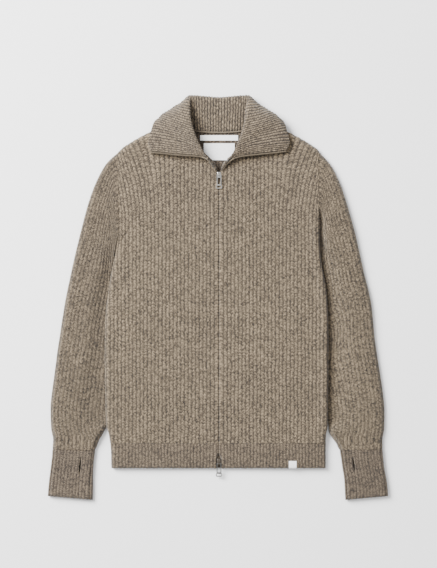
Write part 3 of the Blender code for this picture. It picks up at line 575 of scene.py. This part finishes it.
def hem_back_face(height, inset):
    def place(u, v):
        y = HEM_BOTTOM_Y + v * (HEM_TOP_Y - HEM_BOTTOM_Y)
        x = across_whole(2 * u - 1, y, inset)
        return ZIP_LINE_X + x, y, height, x / HEM_RIB, y / FINE_STITCH
    return place


hem_back = piece_of_cloth("knit_hem_back", [
    knitted_face("hem_inside", steps(264), steps(7), hem_back_face(HEM_INSIDE_Z, 0.0), HEM_INSIDE_RELIEF),
    knitted_face("hem_outside", steps(264), steps(7), hem_back_face(0.0, BACK_INSET), 0),
], hem_wool)
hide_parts("hem_back")
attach(hem_back, "garment")

# ---- Sleeves ----
# Set-in sleeves in the body's rib, each a tube sewn into the armhole and laid down beside
# the body. The ribs run down the sleeve; the outer fold is round and the inner side sinks
# away beside the body.
BESIDE = None             # the underarm edge lies beside the body
Ring = namedtuple("Ring", "out_y out_left out_right in_y in_left in_right")
SLEEVE = [
    Ring(291, 201.3, 200.3, 123, 201.3, 200.3),
    Ring(267, 226, 222, 103, BESIDE, BESIDE),
    Ring(231, 246, 241, 71, BESIDE, BESIDE),
    Ring(187, 262, 256, 35, BESIDE, BESIDE),
    Ring(127, 278, 273, -5, BESIDE, BESIDE),
    Ring(59, 294, 288, -53, BESIDE, BESIDE),
    Ring(-9, 308, 304, -105, BESIDE, BESIDE),
    Ring(-85, 320, 312, -161, BESIDE, BESIDE),
    Ring(-157, 330, 323, -205, BESIDE, BESIDE),
    Ring(-210, 336.5, 330, -238, BESIDE, BESIDE),
    Ring(-241, 337, 331, -258, 226.0, 219.8),
    Ring(-265, 335.5, 330, -273, 233.5, 222.0),
    Ring(-283, 332, 327, -287, 241.0, 232.0),
    Ring(-303, 333, 327, -305, 248.5, 242.0),
]
# painted shade: the left sleeve's wool is a darker copy of the right's, for the shade it lies in
SLEEVE_WOOL = {
    -1: wool("shaded_left_sleeve_wool", (0.154, 0.115, 0.072), (0.0115, 0.0078, 0.0045), pit_shade=0.85, even=0.1),
    1: wool("right_sleeve_wool", (0.174, 0.131, 0.082), (0.0125, 0.0085, 0.0050), pit_shade=0.85, even=0.1),
}
SLEEVE_RELIEF = 1.2
SLEEVE_GAP = 1.1          # between the underarm edge and the body's side
LAST_BESIDE = 9.0         # the last ring whose underarm edge is held beside the body
ARMPIT_PULL = Pull(8.5, (204.0, 90), (202.5, 176), 8.5)     # the fold along the right armhole
UNDERARM_SEAM = Swell(1.4, 5.0, 1.6)
SLEEVE_HEIGHT = 11.8
SLEEVE_CROWN = 2.4        # how much the air in it lifts the sleeve's middle
FOLD_LIP_Z = 2.2          # height at which the two layers meet at a fold
OUTER_ROUND = 10.0
OUTER_ARC = 15.0          # length of the cloth over that rounding
UNDER_INSET = 2.5
TOP_SHARE = 0.75          # share of the columns that lies over the top


def tube_ends(side, rows, ring):
    """x and y of the outer fold, then of the underarm edge, at a place counted in rings."""
    out_xs = [row.out_left if side < 0 else row.out_right for row in rows]
    in_xs = [row.in_left if side < 0 else row.in_right for row in rows]
    in_xs = [side_x(side, row.in_y) + SLEEVE_GAP if x is BESIDE else x for x, row in zip(in_xs, rows)]
    lines = out_xs, [row.out_y for row in rows], in_xs, [row.in_y for row in rows]
    return [through(np.arange(len(rows)), line, ring) for line in lines]


def sleeve_ends(side, ring):
    out_x, out_y, in_x, in_y = tube_ends(side, SLEEVE, ring)
    nearest = side_x(side, in_y) + SEAM_GAP + 0.7 * ease(0, 1, ring)
    return out_x, out_y, np.where(ring < LAST_BESIDE, np.maximum(nearest, in_x), in_x), in_y


def travelled(path):
    """How far along a path of points each of them lies."""
    return np.concatenate([[0], np.cumsum(np.linalg.norm(np.diff(path, axis=0), axis=1))])


def sleeve_face(side):
    """The whole tube: over the top from the outer fold (u = 0) inwards, and back underneath."""
    fine = np.linspace(0, len(SLEEVE) - 1, 400)
    out_x, out_y, in_x, in_y = sleeve_ends(side, fine)
    fold = np.stack([out_x, out_y], axis=-1)
    underarm = np.stack([in_x, in_y], axis=-1)
    run, fold_run = travelled((fold + underarm) / 2), travelled(fold)
    ahead = unit(np.gradient(fold, axis=0))
    inwards = unit(underarm - fold)
    leaning = np.sum(ahead * inwards, axis=1)          # of the rings, along the ribs
    crossing = np.abs(ahead[:, 0] * inwards[:, 1] - ahead[:, 1] * inwards[:, 0])

    def place(u, v):
        ring = np.interp(v * run[-1], run, fine)
        out_x, out_y, in_x, in_y = sleeve_ends(side, ring)
        length = np.hypot(out_x - in_x, out_y - in_y)
        over = OUTER_ARC + length - OUTER_ROUND
        top = clamp(u / TOP_SHARE) * over
        outer_turn = (1 - clamp(top / OUTER_ARC)) * math.pi / 2
        across = OUTER_ROUND * (1 - np.sin(outer_turn)) + np.clip(top - OUTER_ARC, 0, None)
        beneath = length * (1 - clamp((u - TOP_SHARE) / (1 - TOP_SHARE)))
        on_top = u <= TOP_SHARE
        across = np.where(on_top, across, beneath)
        share = across / length
        x = out_x + (in_x - out_x) * share
        y = out_y + (in_y - out_y) * share
        from_inside = length - across
        spread = 0.35 + 0.65 * ease(0.5, 3.5, ring)
        if side < 0:
            dip = 0.25 + 0.75 * ease(0, 62 * spread, from_inside)
        else:
            dip = (0.10 * ease(0, 12 * spread, from_inside)
                   + 0.90 * ease(6 * spread, 80 * spread, from_inside))
        sewn = 1 - (ease(0.8, 3.0, ring) if side < 0 else ease(0.2, 1.6, ring))
        free = ease(9.2, 10.8, ring)
        fall = sewn * ease(0, 3, from_inside) + (1 - sewn) * dip
        fall = fall * (1 - free) + np.sqrt(1 - clamp(1 - from_inside / 10.0) ** 2) * free
        fall = fall * clamp(from_inside / 0.8)
        crown = (SLEEVE_HEIGHT
                 + SLEEVE_CROWN * ease(0.5, 3.0, ring) * ease(13, 11, ring) * ease(0, 25, across))
        height = FOLD_LIP_Z + (crown - FOLD_LIP_Z) * np.cos(outer_turn) * fall
        height = height + 0.6 * np.sin(v * 19.0 + share * 4.0 + side) * np.sin(share * math.pi) ** 2
        if side > 0:
            height = height - groove(ARMPIT_PULL, x, y)
        height = height - swell(UNDERARM_SEAM, from_inside) * free
        height = np.maximum(height, FOLD_LIP_Z)
        from_fold = np.minimum(beneath, length - beneath)
        floor_gap = FOLD_LIP_Z * (1 - clamp(from_fold / UNDER_INSET)) ** 2
        wale = np.where(on_top, top, over + length - beneath) * np.interp(ring, fine, crossing) / BODY_RIB
        course = (np.interp(ring, fine, fold_run) + across * np.interp(ring, fine, leaning)) / STITCH
        return at(side, x), y, np.where(on_top, height, floor_gap), wale, course
    return place


under_shares = np.array([0.006, 0.015, 0.03, 0.2, 0.4, 0.6, 0.8, 0.97, 0.985, 0.994, 1.0])
sleeve_columns = np.concatenate([steps(144) * TOP_SHARE, TOP_SHARE + (1 - TOP_SHARE) * under_shares])
for side, name in ((-1, "sleeve_left"), (1, "sleeve_right")):
    face = knitted_face(name, sleeve_columns, steps(420), sleeve_face(side), SLEEVE_RELIEF,
                        raised=lambda u, v: u <= TOP_SHARE)
    sleeve = piece_of_cloth(f"knit_{name}", [face], SLEEVE_WOOL[side], close=False, weld=0.02)
    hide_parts(name)
    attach(sleeve, "garment")

# ---- Cuffs ----
# Long cuffs in the fine rib, sewn round the sleeve's end along a flat seam. The upper layer
# has an open slit for the thumb in its seam.
CUFF = [
    Ring(-303.4, 333, 327, -305.4, 248.5, 242.0),
    Ring(-318, 334, 328, -320, 250.5, 244.5),
    Ring(-340, 336.5, 330.5, -340, 252.0, 247.5),
    Ring(-362, 339.5, 334.5, -360, 253.0, 250.5),
    Ring(-380, 341.3, 337, -384, 253.2, 252.0),
    Ring(-397, 342.4, 338, -404.7, 253.5, 253.0),
]
CUFF_RIB = 6.4
CUFF_RELIEF = 1.2
CUFF_HEIGHT = 11.0
CUFF_ROUND = 8.5
CUFF_ARC = 11.0
CUFF_WALL = 3.2
CUFF_DEPTH = 98.0
CUFF_INSIDE_Z = 3.1
CUFF_COLUMNS, CUFF_ROWS = 100, 80
OUTER_DIP = Swell(1.3, 7.5, 1.3)     # a valley beside each fold
INNER_DIP = Swell(2.2, 7.5, 1.3)
SEAM_DIP = Swell(0.9, 0.0, 1.1)
SLIT_WIDTH = 2.8
SLIT_SINK = 1.1           # how far its lips turn in
Slit = namedtuple("Slit", "column first last")       # counted in the cuff's grid
SLIT = {-1: Slit(68, 14, 45), 1: Slit(71, 14, 40)}
cuff_wool = wool("cuff_wool", (0.131, 0.098, 0.065), (0.019, 0.0132, 0.0090), pit_shade=0.75, even=0.25)


def cuff_face(side):
    def place(u, v):
        out_x, out_y, in_x, in_y = tube_ends(side, CUFF, v * (len(CUFF) - 1))
        length = np.hypot(out_x - in_x, out_y - in_y)
        whole = length - 2 * CUFF_ROUND + 2 * CUFF_ARC
        along = u * whole
        outer_turn = (1 - clamp(along / CUFF_ARC)) * math.pi / 2
        inner_turn = clamp((along - whole + CUFF_ARC) / CUFF_ARC) * math.pi / 2
        share = (CUFF_ROUND * (1 - np.sin(outer_turn)) + np.clip(along - CUFF_ARC, 0, whole - 2 * CUFF_ARC)
                 + CUFF_ROUND * np.sin(inner_turn)) / length
        low = EDGE_LIP_Z - 0.6
        end = 1 - 0.3 * (1 - clamp((1 - v) / 0.05)) ** 2
        z = low + (CUFF_HEIGHT * end - low) * np.cos(outer_turn) * np.cos(inner_turn)
        z = z - swell(OUTER_DIP, along) - swell(INNER_DIP, whole - along)
        z = z - swell(SEAM_DIP, (u - SLIT[side].column / CUFF_COLUMNS) * whole) * (v > 0.55)
        x, y = out_x + (in_x - out_x) * share, out_y + (in_y - out_y) * share
        return at(side, x), y, z, along / CUFF_RIB, -v * CUFF_DEPTH / FINE_STITCH
    return place


def open_slit(mesh, side):
    """Parts the cuff along one line of stitches, and eases the two lips apart."""
    slit = SLIT[side]
    columns = mesh.verts.layers.int.new("column")
    rows = mesh.verts.layers.int.new("row")
    for k, vert in enumerate(mesh.verts):
        vert[rows], vert[columns] = divmod(k, CUFF_COLUMNS + 1)
    bmesh.ops.split_edges(mesh, edges=[
        e for e in mesh.edges
        if all(v[columns] == slit.column and slit.first <= v[rows] <= slit.last for v in e.verts)])
    for vert in mesh.verts:
        share = (2 * vert[rows] - slit.first - slit.last) / (slit.last - slit.first)
        if abs(share) >= 1:
            continue
        away = vert[columns] - slit.column
        beside = sum(v[columns] - slit.column for f in vert.link_faces for v in f.verts)
        direction = math.copysign(1.0, away if away else beside)
        gape = SLIT_WIDTH / 2 * (1 - share**2)
        vert.co.x -= side * direction * gape * math.exp(-(away / 4.2) ** 2) * MM
        vert.co.z -= SLIT_SINK * (1 - share**2) * math.exp(-(away / 1.6) ** 2) * MM
    for layer in ("column", "row"):
        mesh.verts.layers.int.remove(mesh.verts.layers.int[layer])


def thicken(item, wall):
    """Gives one face of cloth its wall, on the side that doesn't show."""
    modifier = item.modifiers.new("thickness", "SOLIDIFY")
    modifier.thickness = wall * MM
    modifier.offset = -1.0


def cuff_under(side, height, inset):
    def place(u, v):
        out_x, out_y, in_x, in_y = tube_ends(side, CUFF, v * (len(CUFF) - 1))
        length = np.hypot(out_x - in_x, out_y - in_y)
        tuck = clamp(1 - v * 12) * (height > 0)      # its top end lies inside the sleeve
        narrowed = inset + 3.0 * tuck
        share = (narrowed + u * (length - 2 * narrowed)) / length
        x, y = out_x + (in_x - out_x) * share, out_y + (in_y - out_y) * share
        return at(side, x), y + 1.6 * tuck, height, u * length / CUFF_RIB, v * 20
    return place


for side, name in ((-1, "cuff_left"), (1, "cuff_right")):
    face = knitted_face(name, steps(CUFF_COLUMNS), steps(CUFF_ROWS), cuff_face(side), CUFF_RELIEF)
    made = bmesh.new()
    made.from_mesh(face)
    open_slit(made, side)
    made.to_mesh(face)
    made.free()
    cuff = piece_of_cloth(f"knit_{name}_front", [face], cuff_wool, close=False)
    thicken(cuff, CUFF_WALL)
    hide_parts(name + "_front")
    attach(cuff, "garment")

    under = piece_of_cloth(f"knit_{name}_back", [
        knitted_face(f"{name}_inside", steps(52), steps(12), cuff_under(side, CUFF_INSIDE_Z, 0.0), 1.0),
        knitted_face(f"{name}_outside", steps(52), steps(12), cuff_under(side, 0.0, UNDER_INSET), 0),
    ], cuff_wool)
    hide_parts(name + "_back")
    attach(under, "garment")

# ---- Collar ----
# A tall band of fine rib sewn round the neck, its ribs running out from the seam. It stands
# up, rolls over and falls open in two leaves over the fronts; at the back it folds flat.
Section = namedtuple("Section", "run seam stand rise roll turn leaf fold edge free")
COLLAR = [
    Section(0, (5.0, 253.5, 11), (8.2, 263, 14.5), (14, 271, 17.7), (20.5, 277, 20), (27, 281.2, 21.7),
            (44, 284.5, 22), (84, 287.3, 21), (112, 290.3, 20), (136, 292.3, 19)),
    Section(24, (22, 275.8, 10.8), (24, 279.5, 17), (27, 282.5, 21.5), (29.5, 287.5, 24), (35, 290.8, 26),
            (60, 300, 26), (102, 307, 23.5), (124, 310, 21.5), (140.8, 311, 18.8)),
    Section(49, (45, 285.5, 10.2), (43.5, 291.5, 17), (41.6, 304, 25), (41, 308.5, 28), (47, 311.5, 30.5),
            (74, 322.5, 29), (108, 331.5, 24.5), (124, 335, 21.5), (134.5, 336.5, 18)),
    Section(73, (61, 309, 11), (58, 312.5, 18), (51, 326.5, 27), (49.8, 330, 30), (56, 332.5, 33),
            (81, 341, 31), (108, 350.5, 24.5), (119, 354.5, 19), (127, 354, 12)),
    Section(91, (70, 329, 10.5), (66, 332, 18), (56, 343.5, 27), (54.4, 346.3, 31), (61, 348.5, 33.5),
            (83, 356, 30), (104, 363.2, 22), (114.5, 365.5, 13), (112, 360, 3.5)),
    Section(107, (74.5, 345, 9.5), (70, 349, 17), (59.4, 359.6, 26), (57.2, 362.3, 30), (63.5, 364.5, 32.5),
            (80, 369.5, 28), (91, 373.5, 20.5), (99.5, 374.6, 11), (92, 367, 0.4)),
    Section(124, (73, 355, 8), (68, 359.5, 14), (60.2, 376, 22.5), (58.4, 380, 26.5), (64.5, 382, 28),
            (74.5, 383.5, 24), (79.5, 385, 16), (85, 383.5, 8), (76, 368, 0)),
    Section(137, (67.5, 350.5, 6.5), (64.5, 359, 12), (58.4, 387, 20), (58.2, 393, 23),
            (63.5, 395.5, 21), (69, 395, 15), (72.5, 392, 8), (72.5, 384, 2), (68, 362, 0)),
    Section(150, (60, 340.6, 5.0), (58.5, 353, 10), (55.5, 394, 18), (58, 402.5, 15), (61.5, 403, 9.5),
            (64.5, 398, 2.5), (65, 386, 0), (64, 370, 0), (62, 352, 0)),
    Section(164, (44, 334.6, 4.8), (44, 345, 9), (45, 395, 16.5), (46, 403.8, 11.5), (47, 401, 5),
            (47, 391, 0), (46, 376, 0), (45, 360, 0), (44, 344, 0)),
    Section(187, (22, 332.7, 4.8), (22, 341.5, 9), (23, 393, 16), (23, 401.8, 11), (23, 399, 4.5),
            (23, 389, 0), (23, 374, 0), (22.5, 357, 0), (22, 340, 0)),
    Section(210, (0, 332.0, 4.8), (0, 340.8, 9), (0, 391.5, 15.5), (0, 400.2, 10.5), (0, 397.5, 4.5),
            (0, 387, 0), (0, 372, 0), (0, 356, 0), (0, 339, 0)),
]
Shift = namedtuple("Shift", "roll_x edge_y lift")    # the right leaf lies flatter than the left
RIGHT_LEAF = [Shift(-1, 0, 0), Shift(-2, -1, 1.5), Shift(-3, 0, 2.8), Shift(-3.5, 0, 3.5),
              Shift(-4, -1, 3.2), Shift(-4, -1, 2), Shift(-4, -1, 0)]
LEAF_LIFT = {5: 0.7, 6: 1.35, 7: 1.7, 8: 0.6}    # share of the lift, by line across the band
RIGHT_ZIP_EDGE = Section(
    0, (4.6, 253.5, 11), (7.6, 261.5, 14.5), (13.5, 269, 17.7), (20, 274.6, 20), (27, 279.2, 21.7),
    (46, 284.6, 22), (84, 289, 21), (112, 291.8, 20), (135, 295, 19))
COLLAR_RIB = 420 / 74     # in the sections' own run
COLLAR_STITCH = 4.4
COLLAR_RELIEF = 1.7
COLLAR_WALL = 3.4
LAST_LINE = 8             # of the nine lines that the sections' points make along the band
ZIP_EDGE_DIP = 2.4        # how far the band thins down at its two ends
ZIP_EDGE_REACH = 3.5


def collar_sections():
    """The whole band's sections: the left half's, and the same mirrored with the right leaf's shifts."""
    left, right = [], []
    for n, row in enumerate(COLLAR):
        left.append((row.run, [(at(-1, x), y, z) for x, y, z in row[1:]]))
        source = RIGHT_ZIP_EDGE if n == 0 else row
        shift = RIGHT_LEAF[n] if n < len(RIGHT_LEAF) else Shift(0, 0, 0)
        points = []
        for k, (x, y, z) in enumerate(source[1:]):
            roll = shift.roll_x if n and 2 <= k <= 4 else 0
            edge = shift.edge_y if n and (k >= 5 or n == 1) else 0
            points.append((at(1, x + roll), y + edge, z + shift.lift * LEAF_LIFT.get(k, 0)))
        right.append((2 * COLLAR[-1].run - row.run, points))
    return left + right[-2::-1]


sections = collar_sections()
band_runs = np.array([run for run, points in sections], float)
band_points = np.array([points for run, points in sections], float)
BAND_LENGTH = band_runs[-1]


def collar_spots(run, across):
    """Points of the band's shown face: run along it, across it from 0 (seam) to 8 (free edge)."""
    lines = np.stack([
        np.stack([through(band_runs, band_points[:, k, axis], run) for axis in range(3)], axis=-1)
        for k in range(LAST_LINE + 1)])
    low = np.clip(np.floor(across).astype(int), 0, LAST_LINE - 1)
    t = (across - low)[..., None]

    def pick(k):
        return np.take_along_axis(lines, np.clip(k, 0, LAST_LINE)[None, ..., None], axis=0)[0]

    start, end = pick(low), pick(low + 1)
    before = np.where((low == 0)[..., None], start, pick(low - 1))
    after = np.where((low == LAST_LINE - 1)[..., None], end, pick(low + 2))
    spots = (start * (2 * t**3 - 3 * t**2 + 1) + (end - before) / 2 * (t**3 - 2 * t**2 + t)
             + end * (3 * t**2 - 2 * t**3) + (after - start) / 2 * (t**3 - t**2))
    spots[..., 2] = np.maximum(spots[..., 2], 0.0)
    return spots


fine_across = np.linspace(0, LAST_LINE, 161)
fine_spots = collar_spots(*np.meshgrid(np.linspace(0, BAND_LENGTH, 60), fine_across))
travel = np.linalg.norm(np.diff(fine_spots, axis=0), axis=-1).mean(axis=1)
travel = np.concatenate([[0], np.cumsum(travel)])       # the band's mean depth, up to each place across


def collar_face(u, v):
    run = u * BAND_LENGTH
    spots = collar_spots(run, np.interp(v * travel[-1], travel, fine_across))
    from_end = np.minimum(run, BAND_LENGTH - run)
    spots[..., 2] -= ZIP_EDGE_DIP * clamp(1 - from_end / ZIP_EDGE_REACH) ** 2
    return spots[..., 0], spots[..., 1], spots[..., 2], run / COLLAR_RIB, v * travel[-1] / COLLAR_STITCH


collar_wool = wool("collar_wool", (0.213, 0.162, 0.106), (0.018, 0.0122, 0.0075), pit_shade=1.1, even=0.65,
                   marled=0.9)
collar = piece_of_cloth("knit_collar", [
    knitted_face("collar", steps(444), steps(96), collar_face, COLLAR_RELIEF)],
    collar_wool, close=False)
thicken(collar, COLLAR_WALL)
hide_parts("collar")
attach(collar, "garment")

# ---- Neck seam ----
# A narrow binding of closely woven cloth, sewn flat over the seam between the collar and
# the back, inside the neck.
SEAM_RUNS = (140, 280)    # where it starts and ends along the collar's band
BINDING_OFFSET = (0.0, -1.3, 1.3)
BINDING_WIDTH, BINDING_HEIGHT = 1.6, 0.9      # half-axes of its section


def swept(name, path, wide, high, surface, sides=8):
    """A closed bar of an oval section, of half-axes wide and high, along a path of points."""
    path = np.asarray(path, float)
    ahead = unit(np.gradient(path, axis=0))
    level = unit(np.cross(ahead, (0, 0, 1.0)))
    upward = np.cross(level, ahead)
    made = bmesh.new()
    rings = []
    for spot, right, up in zip(path, level, upward):
        ring = bmesh.ops.create_circle(made, segments=sides, radius=1.0)["verts"]
        for vert in ring:
            vert.co = Vector((spot + right * vert.co.x * wide + up * vert.co.y * high) * MM)
        rings.append({edge for vert in ring for edge in vert.link_edges})
    for first, second in zip(rings, rings[1:]):
        bmesh.ops.bridge_loops(made, edges=list(first | second))
    bmesh.ops.holes_fill(made, edges=list(rings[0] | rings[-1]), sides=sides)
    bmesh.ops.recalc_face_normals(made, faces=made.faces)
    return finished(name, made, surface)


def twill(name, colour, scale):
    """Closely woven cloth, seen as a fine even grain."""
    made, shader, nodes, links = new_material(name, 0.85)
    shader.inputs["Specular IOR Level"].default_value = 0.2
    grain = nodes.new("ShaderNodeTexNoise")
    grain.inputs["Scale"].default_value = scale
    grain.inputs["Detail"].default_value = 2.0
    links.new(nodes.new("ShaderNodeTexCoord").outputs["Object"], grain.inputs["Vector"])
    ramp = nodes.new("ShaderNodeValToRGB")
    for stop, position, gain in zip(ramp.color_ramp.elements, (0.35, 0.65), (0.72, 1.2)):
        stop.position = position
        stop.color = (*[min(c * gain, 1.0) for c in colour], 1.0)
    links.new(grain.outputs["Fac"], ramp.inputs["Fac"])
    links.new(ramp.outputs["Color"], shader.inputs["Base Color"])
    bump = nodes.new("ShaderNodeBump")
    bump.inputs["Strength"].default_value = 0.4
    bump.inputs["Distance"].default_value = 0.0003
    links.new(grain.outputs["Fac"], bump.inputs["Height"])
    links.new(bump.outputs["Normal"], shader.inputs["Normal"])
    return made


trim_cloth = twill("trim_cloth", (0.120, 0.096, 0.070), 900.0)
seam_path = collar_spots(np.linspace(*SEAM_RUNS, 60), np.zeros(60)) + BINDING_OFFSET
binding = swept("neck_binding", seam_path, BINDING_WIDTH, BINDING_HEIGHT, trim_cloth)
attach(binding, "garment")

# ---- Zip ----
# Two woven tapes sewn under the edges of the fronts, with a nylon coil along each. The coils'
# loops lock together down the front.
TEETH_PITCH = 1.3
TOOTH = (1.15, 0.42, 0.95)       # half its width, length and height
TOOTH_X, TOOTH_Z = 0.85, 6.6     # its middle, from the zip line and above the floor
CHAIN_LOW_Y, CHAIN_HIGH_Y = -321.0, 238.0
tape_cloth = twill("tape_cloth", (0.053, 0.042, 0.030), 1200.0)
coil_nylon = twill("coil_nylon", (0.075, 0.059, 0.042), 600.0)


def dress(node, surface):
    """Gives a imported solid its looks."""
    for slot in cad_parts[node].material_slots:
        slot.material = surface


dress("zip_tape_left", tape_cloth)
dress("zip_tape_right", tape_cloth)
made = bmesh.new()
for k in range(int((CHAIN_HIGH_Y - CHAIN_LOW_Y) / TEETH_PITCH)):
    for side in (-1, 1):
        y = CHAIN_LOW_Y + (k + 0.25 + side * 0.25) * TEETH_PITCH
        place = Matrix.LocRotScale(Vector((at(side, TOOTH_X), y, TOOTH_Z)), None, Vector(TOOTH))
        bmesh.ops.create_cube(made, size=2.0, matrix=place)
bmesh.ops.scale(made, vec=(MM, MM, MM), verts=made.verts)
chain = finished("zip_coil", made, coil_nylon, smooth=False)
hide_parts("zip_chain")
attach(chain, "garment")

# ---- Edges of the collar ----
# A soft rim of woven cloth up each edge of the collar, which covers the zip's open row. It is
# sewn on along the edge and turns under the leaf with it; there it is given darker cloth as painted shade.
RIM_STEPS = 70
RIM_WIDTH, RIM_HEIGHT = 1.9, 1.5     # half-axes of its section
RIM_OUT, RIM_DOWN = 2.6, 0.9         # its middle, from the edge's shown face
RIM_TURN = 32.0           # the rim lies under the leaf from here outwards
rim_cloth = twill("rim_cloth", (0.140, 0.112, 0.078), 500.0)
# painted shade: a darker copy of the rim's cloth, for where it lies under the leaf
shaded_rim = twill("shaded_rim", (0.074, 0.059, 0.041), 500.0)
for side, run, name in ((-1, 0.0, "zip_row_left"), (1, BAND_LENGTH, "zip_row_right")):
    edge = collar_spots(np.full(RIM_STEPS, run), np.linspace(0.15, 7.95, RIM_STEPS))
    away = unit(np.cross(np.gradient(edge, axis=0), (0, 0, 1.0))) * side
    path = edge + away * RIM_OUT - (0, 0, RIM_DOWN)
    rim = swept(f"{name}_rim", path, RIM_WIDTH, RIM_HEIGHT, rim_cloth)
    rim.data.materials.append(shaded_rim)
    for face in rim.data.polygons:
        # painted shade: the rim's faces past RIM_TURN, under the leaf, take the darker copy
        face.material_index = int(abs(face.center.x) > RIM_TURN * MM)
    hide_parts(name)
    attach(rim, "garment")

# ---- Sliders and pulls ----
# Two cast zinc sliders, plated silver, each with a wire-frame pull that hangs from its loop.
# The lower pair lies in the gap of the hem, in shade, and its darker metal is painted shade.


def plain(name, colour, roughness, metallic=0.0):
    made, shader, nodes, links = new_material(name, roughness)
    shader.inputs["Base Color"].default_value = (*colour, 1.0)
    shader.inputs["Metallic"].default_value = metallic
    return made


metal = plain("metal", (0.42, 0.41, 0.39), 0.25, 1.0)
dress("slider_top", metal)
dress("pull_top", metal)
# painted shade: the lower slider and pull get darker copies of the same metal
dress("slider_bottom", plain("shaded_metal", (0.10, 0.085, 0.07), 0.4, 1.0))
dress("pull_bottom", plain("shaded_pull_metal", (0.17, 0.165, 0.155), 0.3, 1.0))

# ---- Labels ----
# Two white woven labels sewn flat on the inside of the back, and a folded tab of the same
# cloth sewn on at the hem's edge.
label_cloth = twill("label_cloth", (0.86, 0.86, 0.85), 1500.0)
for node in ("neck_label", "strip_label", "hem_flag"):
    dress(node, label_cloth)

# ---- Floor, light and camera ----
# A white sweep under a broad soft light low on the upper left, in a white room that is
# brightest overhead. It is seen from straight above.
FLOOR_SIZE = 6.0          # half its width, in metres, as all lengths here are
WALL_GLOW, CEILING_GLOW = 0.4, 1.36
LIGHT_PLACE = (-2.5, 1.85, 2.4)
LIGHT_WIDTH = 2.5
LIGHT_POWER = 680.0
CAMERA_HEIGHT = 4.0
VIEW_HEIGHT = 1.136       # how much of the floor the picture's long side takes in
VIEW_MIDDLE = (0.0012, 0.0273)
SENSOR = 36.0             # millimetres

made = bmesh.new()
bmesh.ops.create_grid(made, x_segments=1, y_segments=1, size=FLOOR_SIZE)
floor = finished("floor", made, plain("sweep", (0.9, 0.9, 0.9), 0.9), smooth=False)

world = bpy.data.worlds.new("studio")
world.use_nodes = True
nodes, links = world.node_tree.nodes, world.node_tree.links
nodes["Background"].inputs["Color"].default_value = (1.0, 1.0, 1.0, 1.0)
towards = nodes.new("ShaderNodeSeparateXYZ")
links.new(nodes.new("ShaderNodeTexCoord").outputs["Generated"], towards.inputs["Vector"])
overhead = nodes.new("ShaderNodeMapRange")
overhead.inputs["To Min"].default_value = WALL_GLOW
overhead.inputs["To Max"].default_value = CEILING_GLOW
links.new(towards.outputs["Z"], overhead.inputs["Value"])
links.new(overhead.outputs["Result"], nodes["Background"].inputs["Strength"])
bpy.context.scene.world = world

light = bpy.data.lights.new("key", "AREA")
light.shape = "DISK"
light.size = LIGHT_WIDTH
light.energy = LIGHT_POWER
key = bpy.data.objects.new("key", light)
key.location = LIGHT_PLACE
key.rotation_euler = (-Vector(key.location)).to_track_quat("-Z", "Y").to_euler()
bpy.context.scene.collection.objects.link(key)

camera_data = bpy.data.cameras.new("camera")
camera_data.sensor_width = SENSOR
camera_data.lens = SENSOR * CAMERA_HEIGHT / VIEW_HEIGHT
camera = bpy.data.objects.new("camera", camera_data)
camera.location = (*VIEW_MIDDLE, CAMERA_HEIGHT + 0.01)
bpy.context.scene.collection.objects.link(camera)
bpy.context.scene.camera = camera
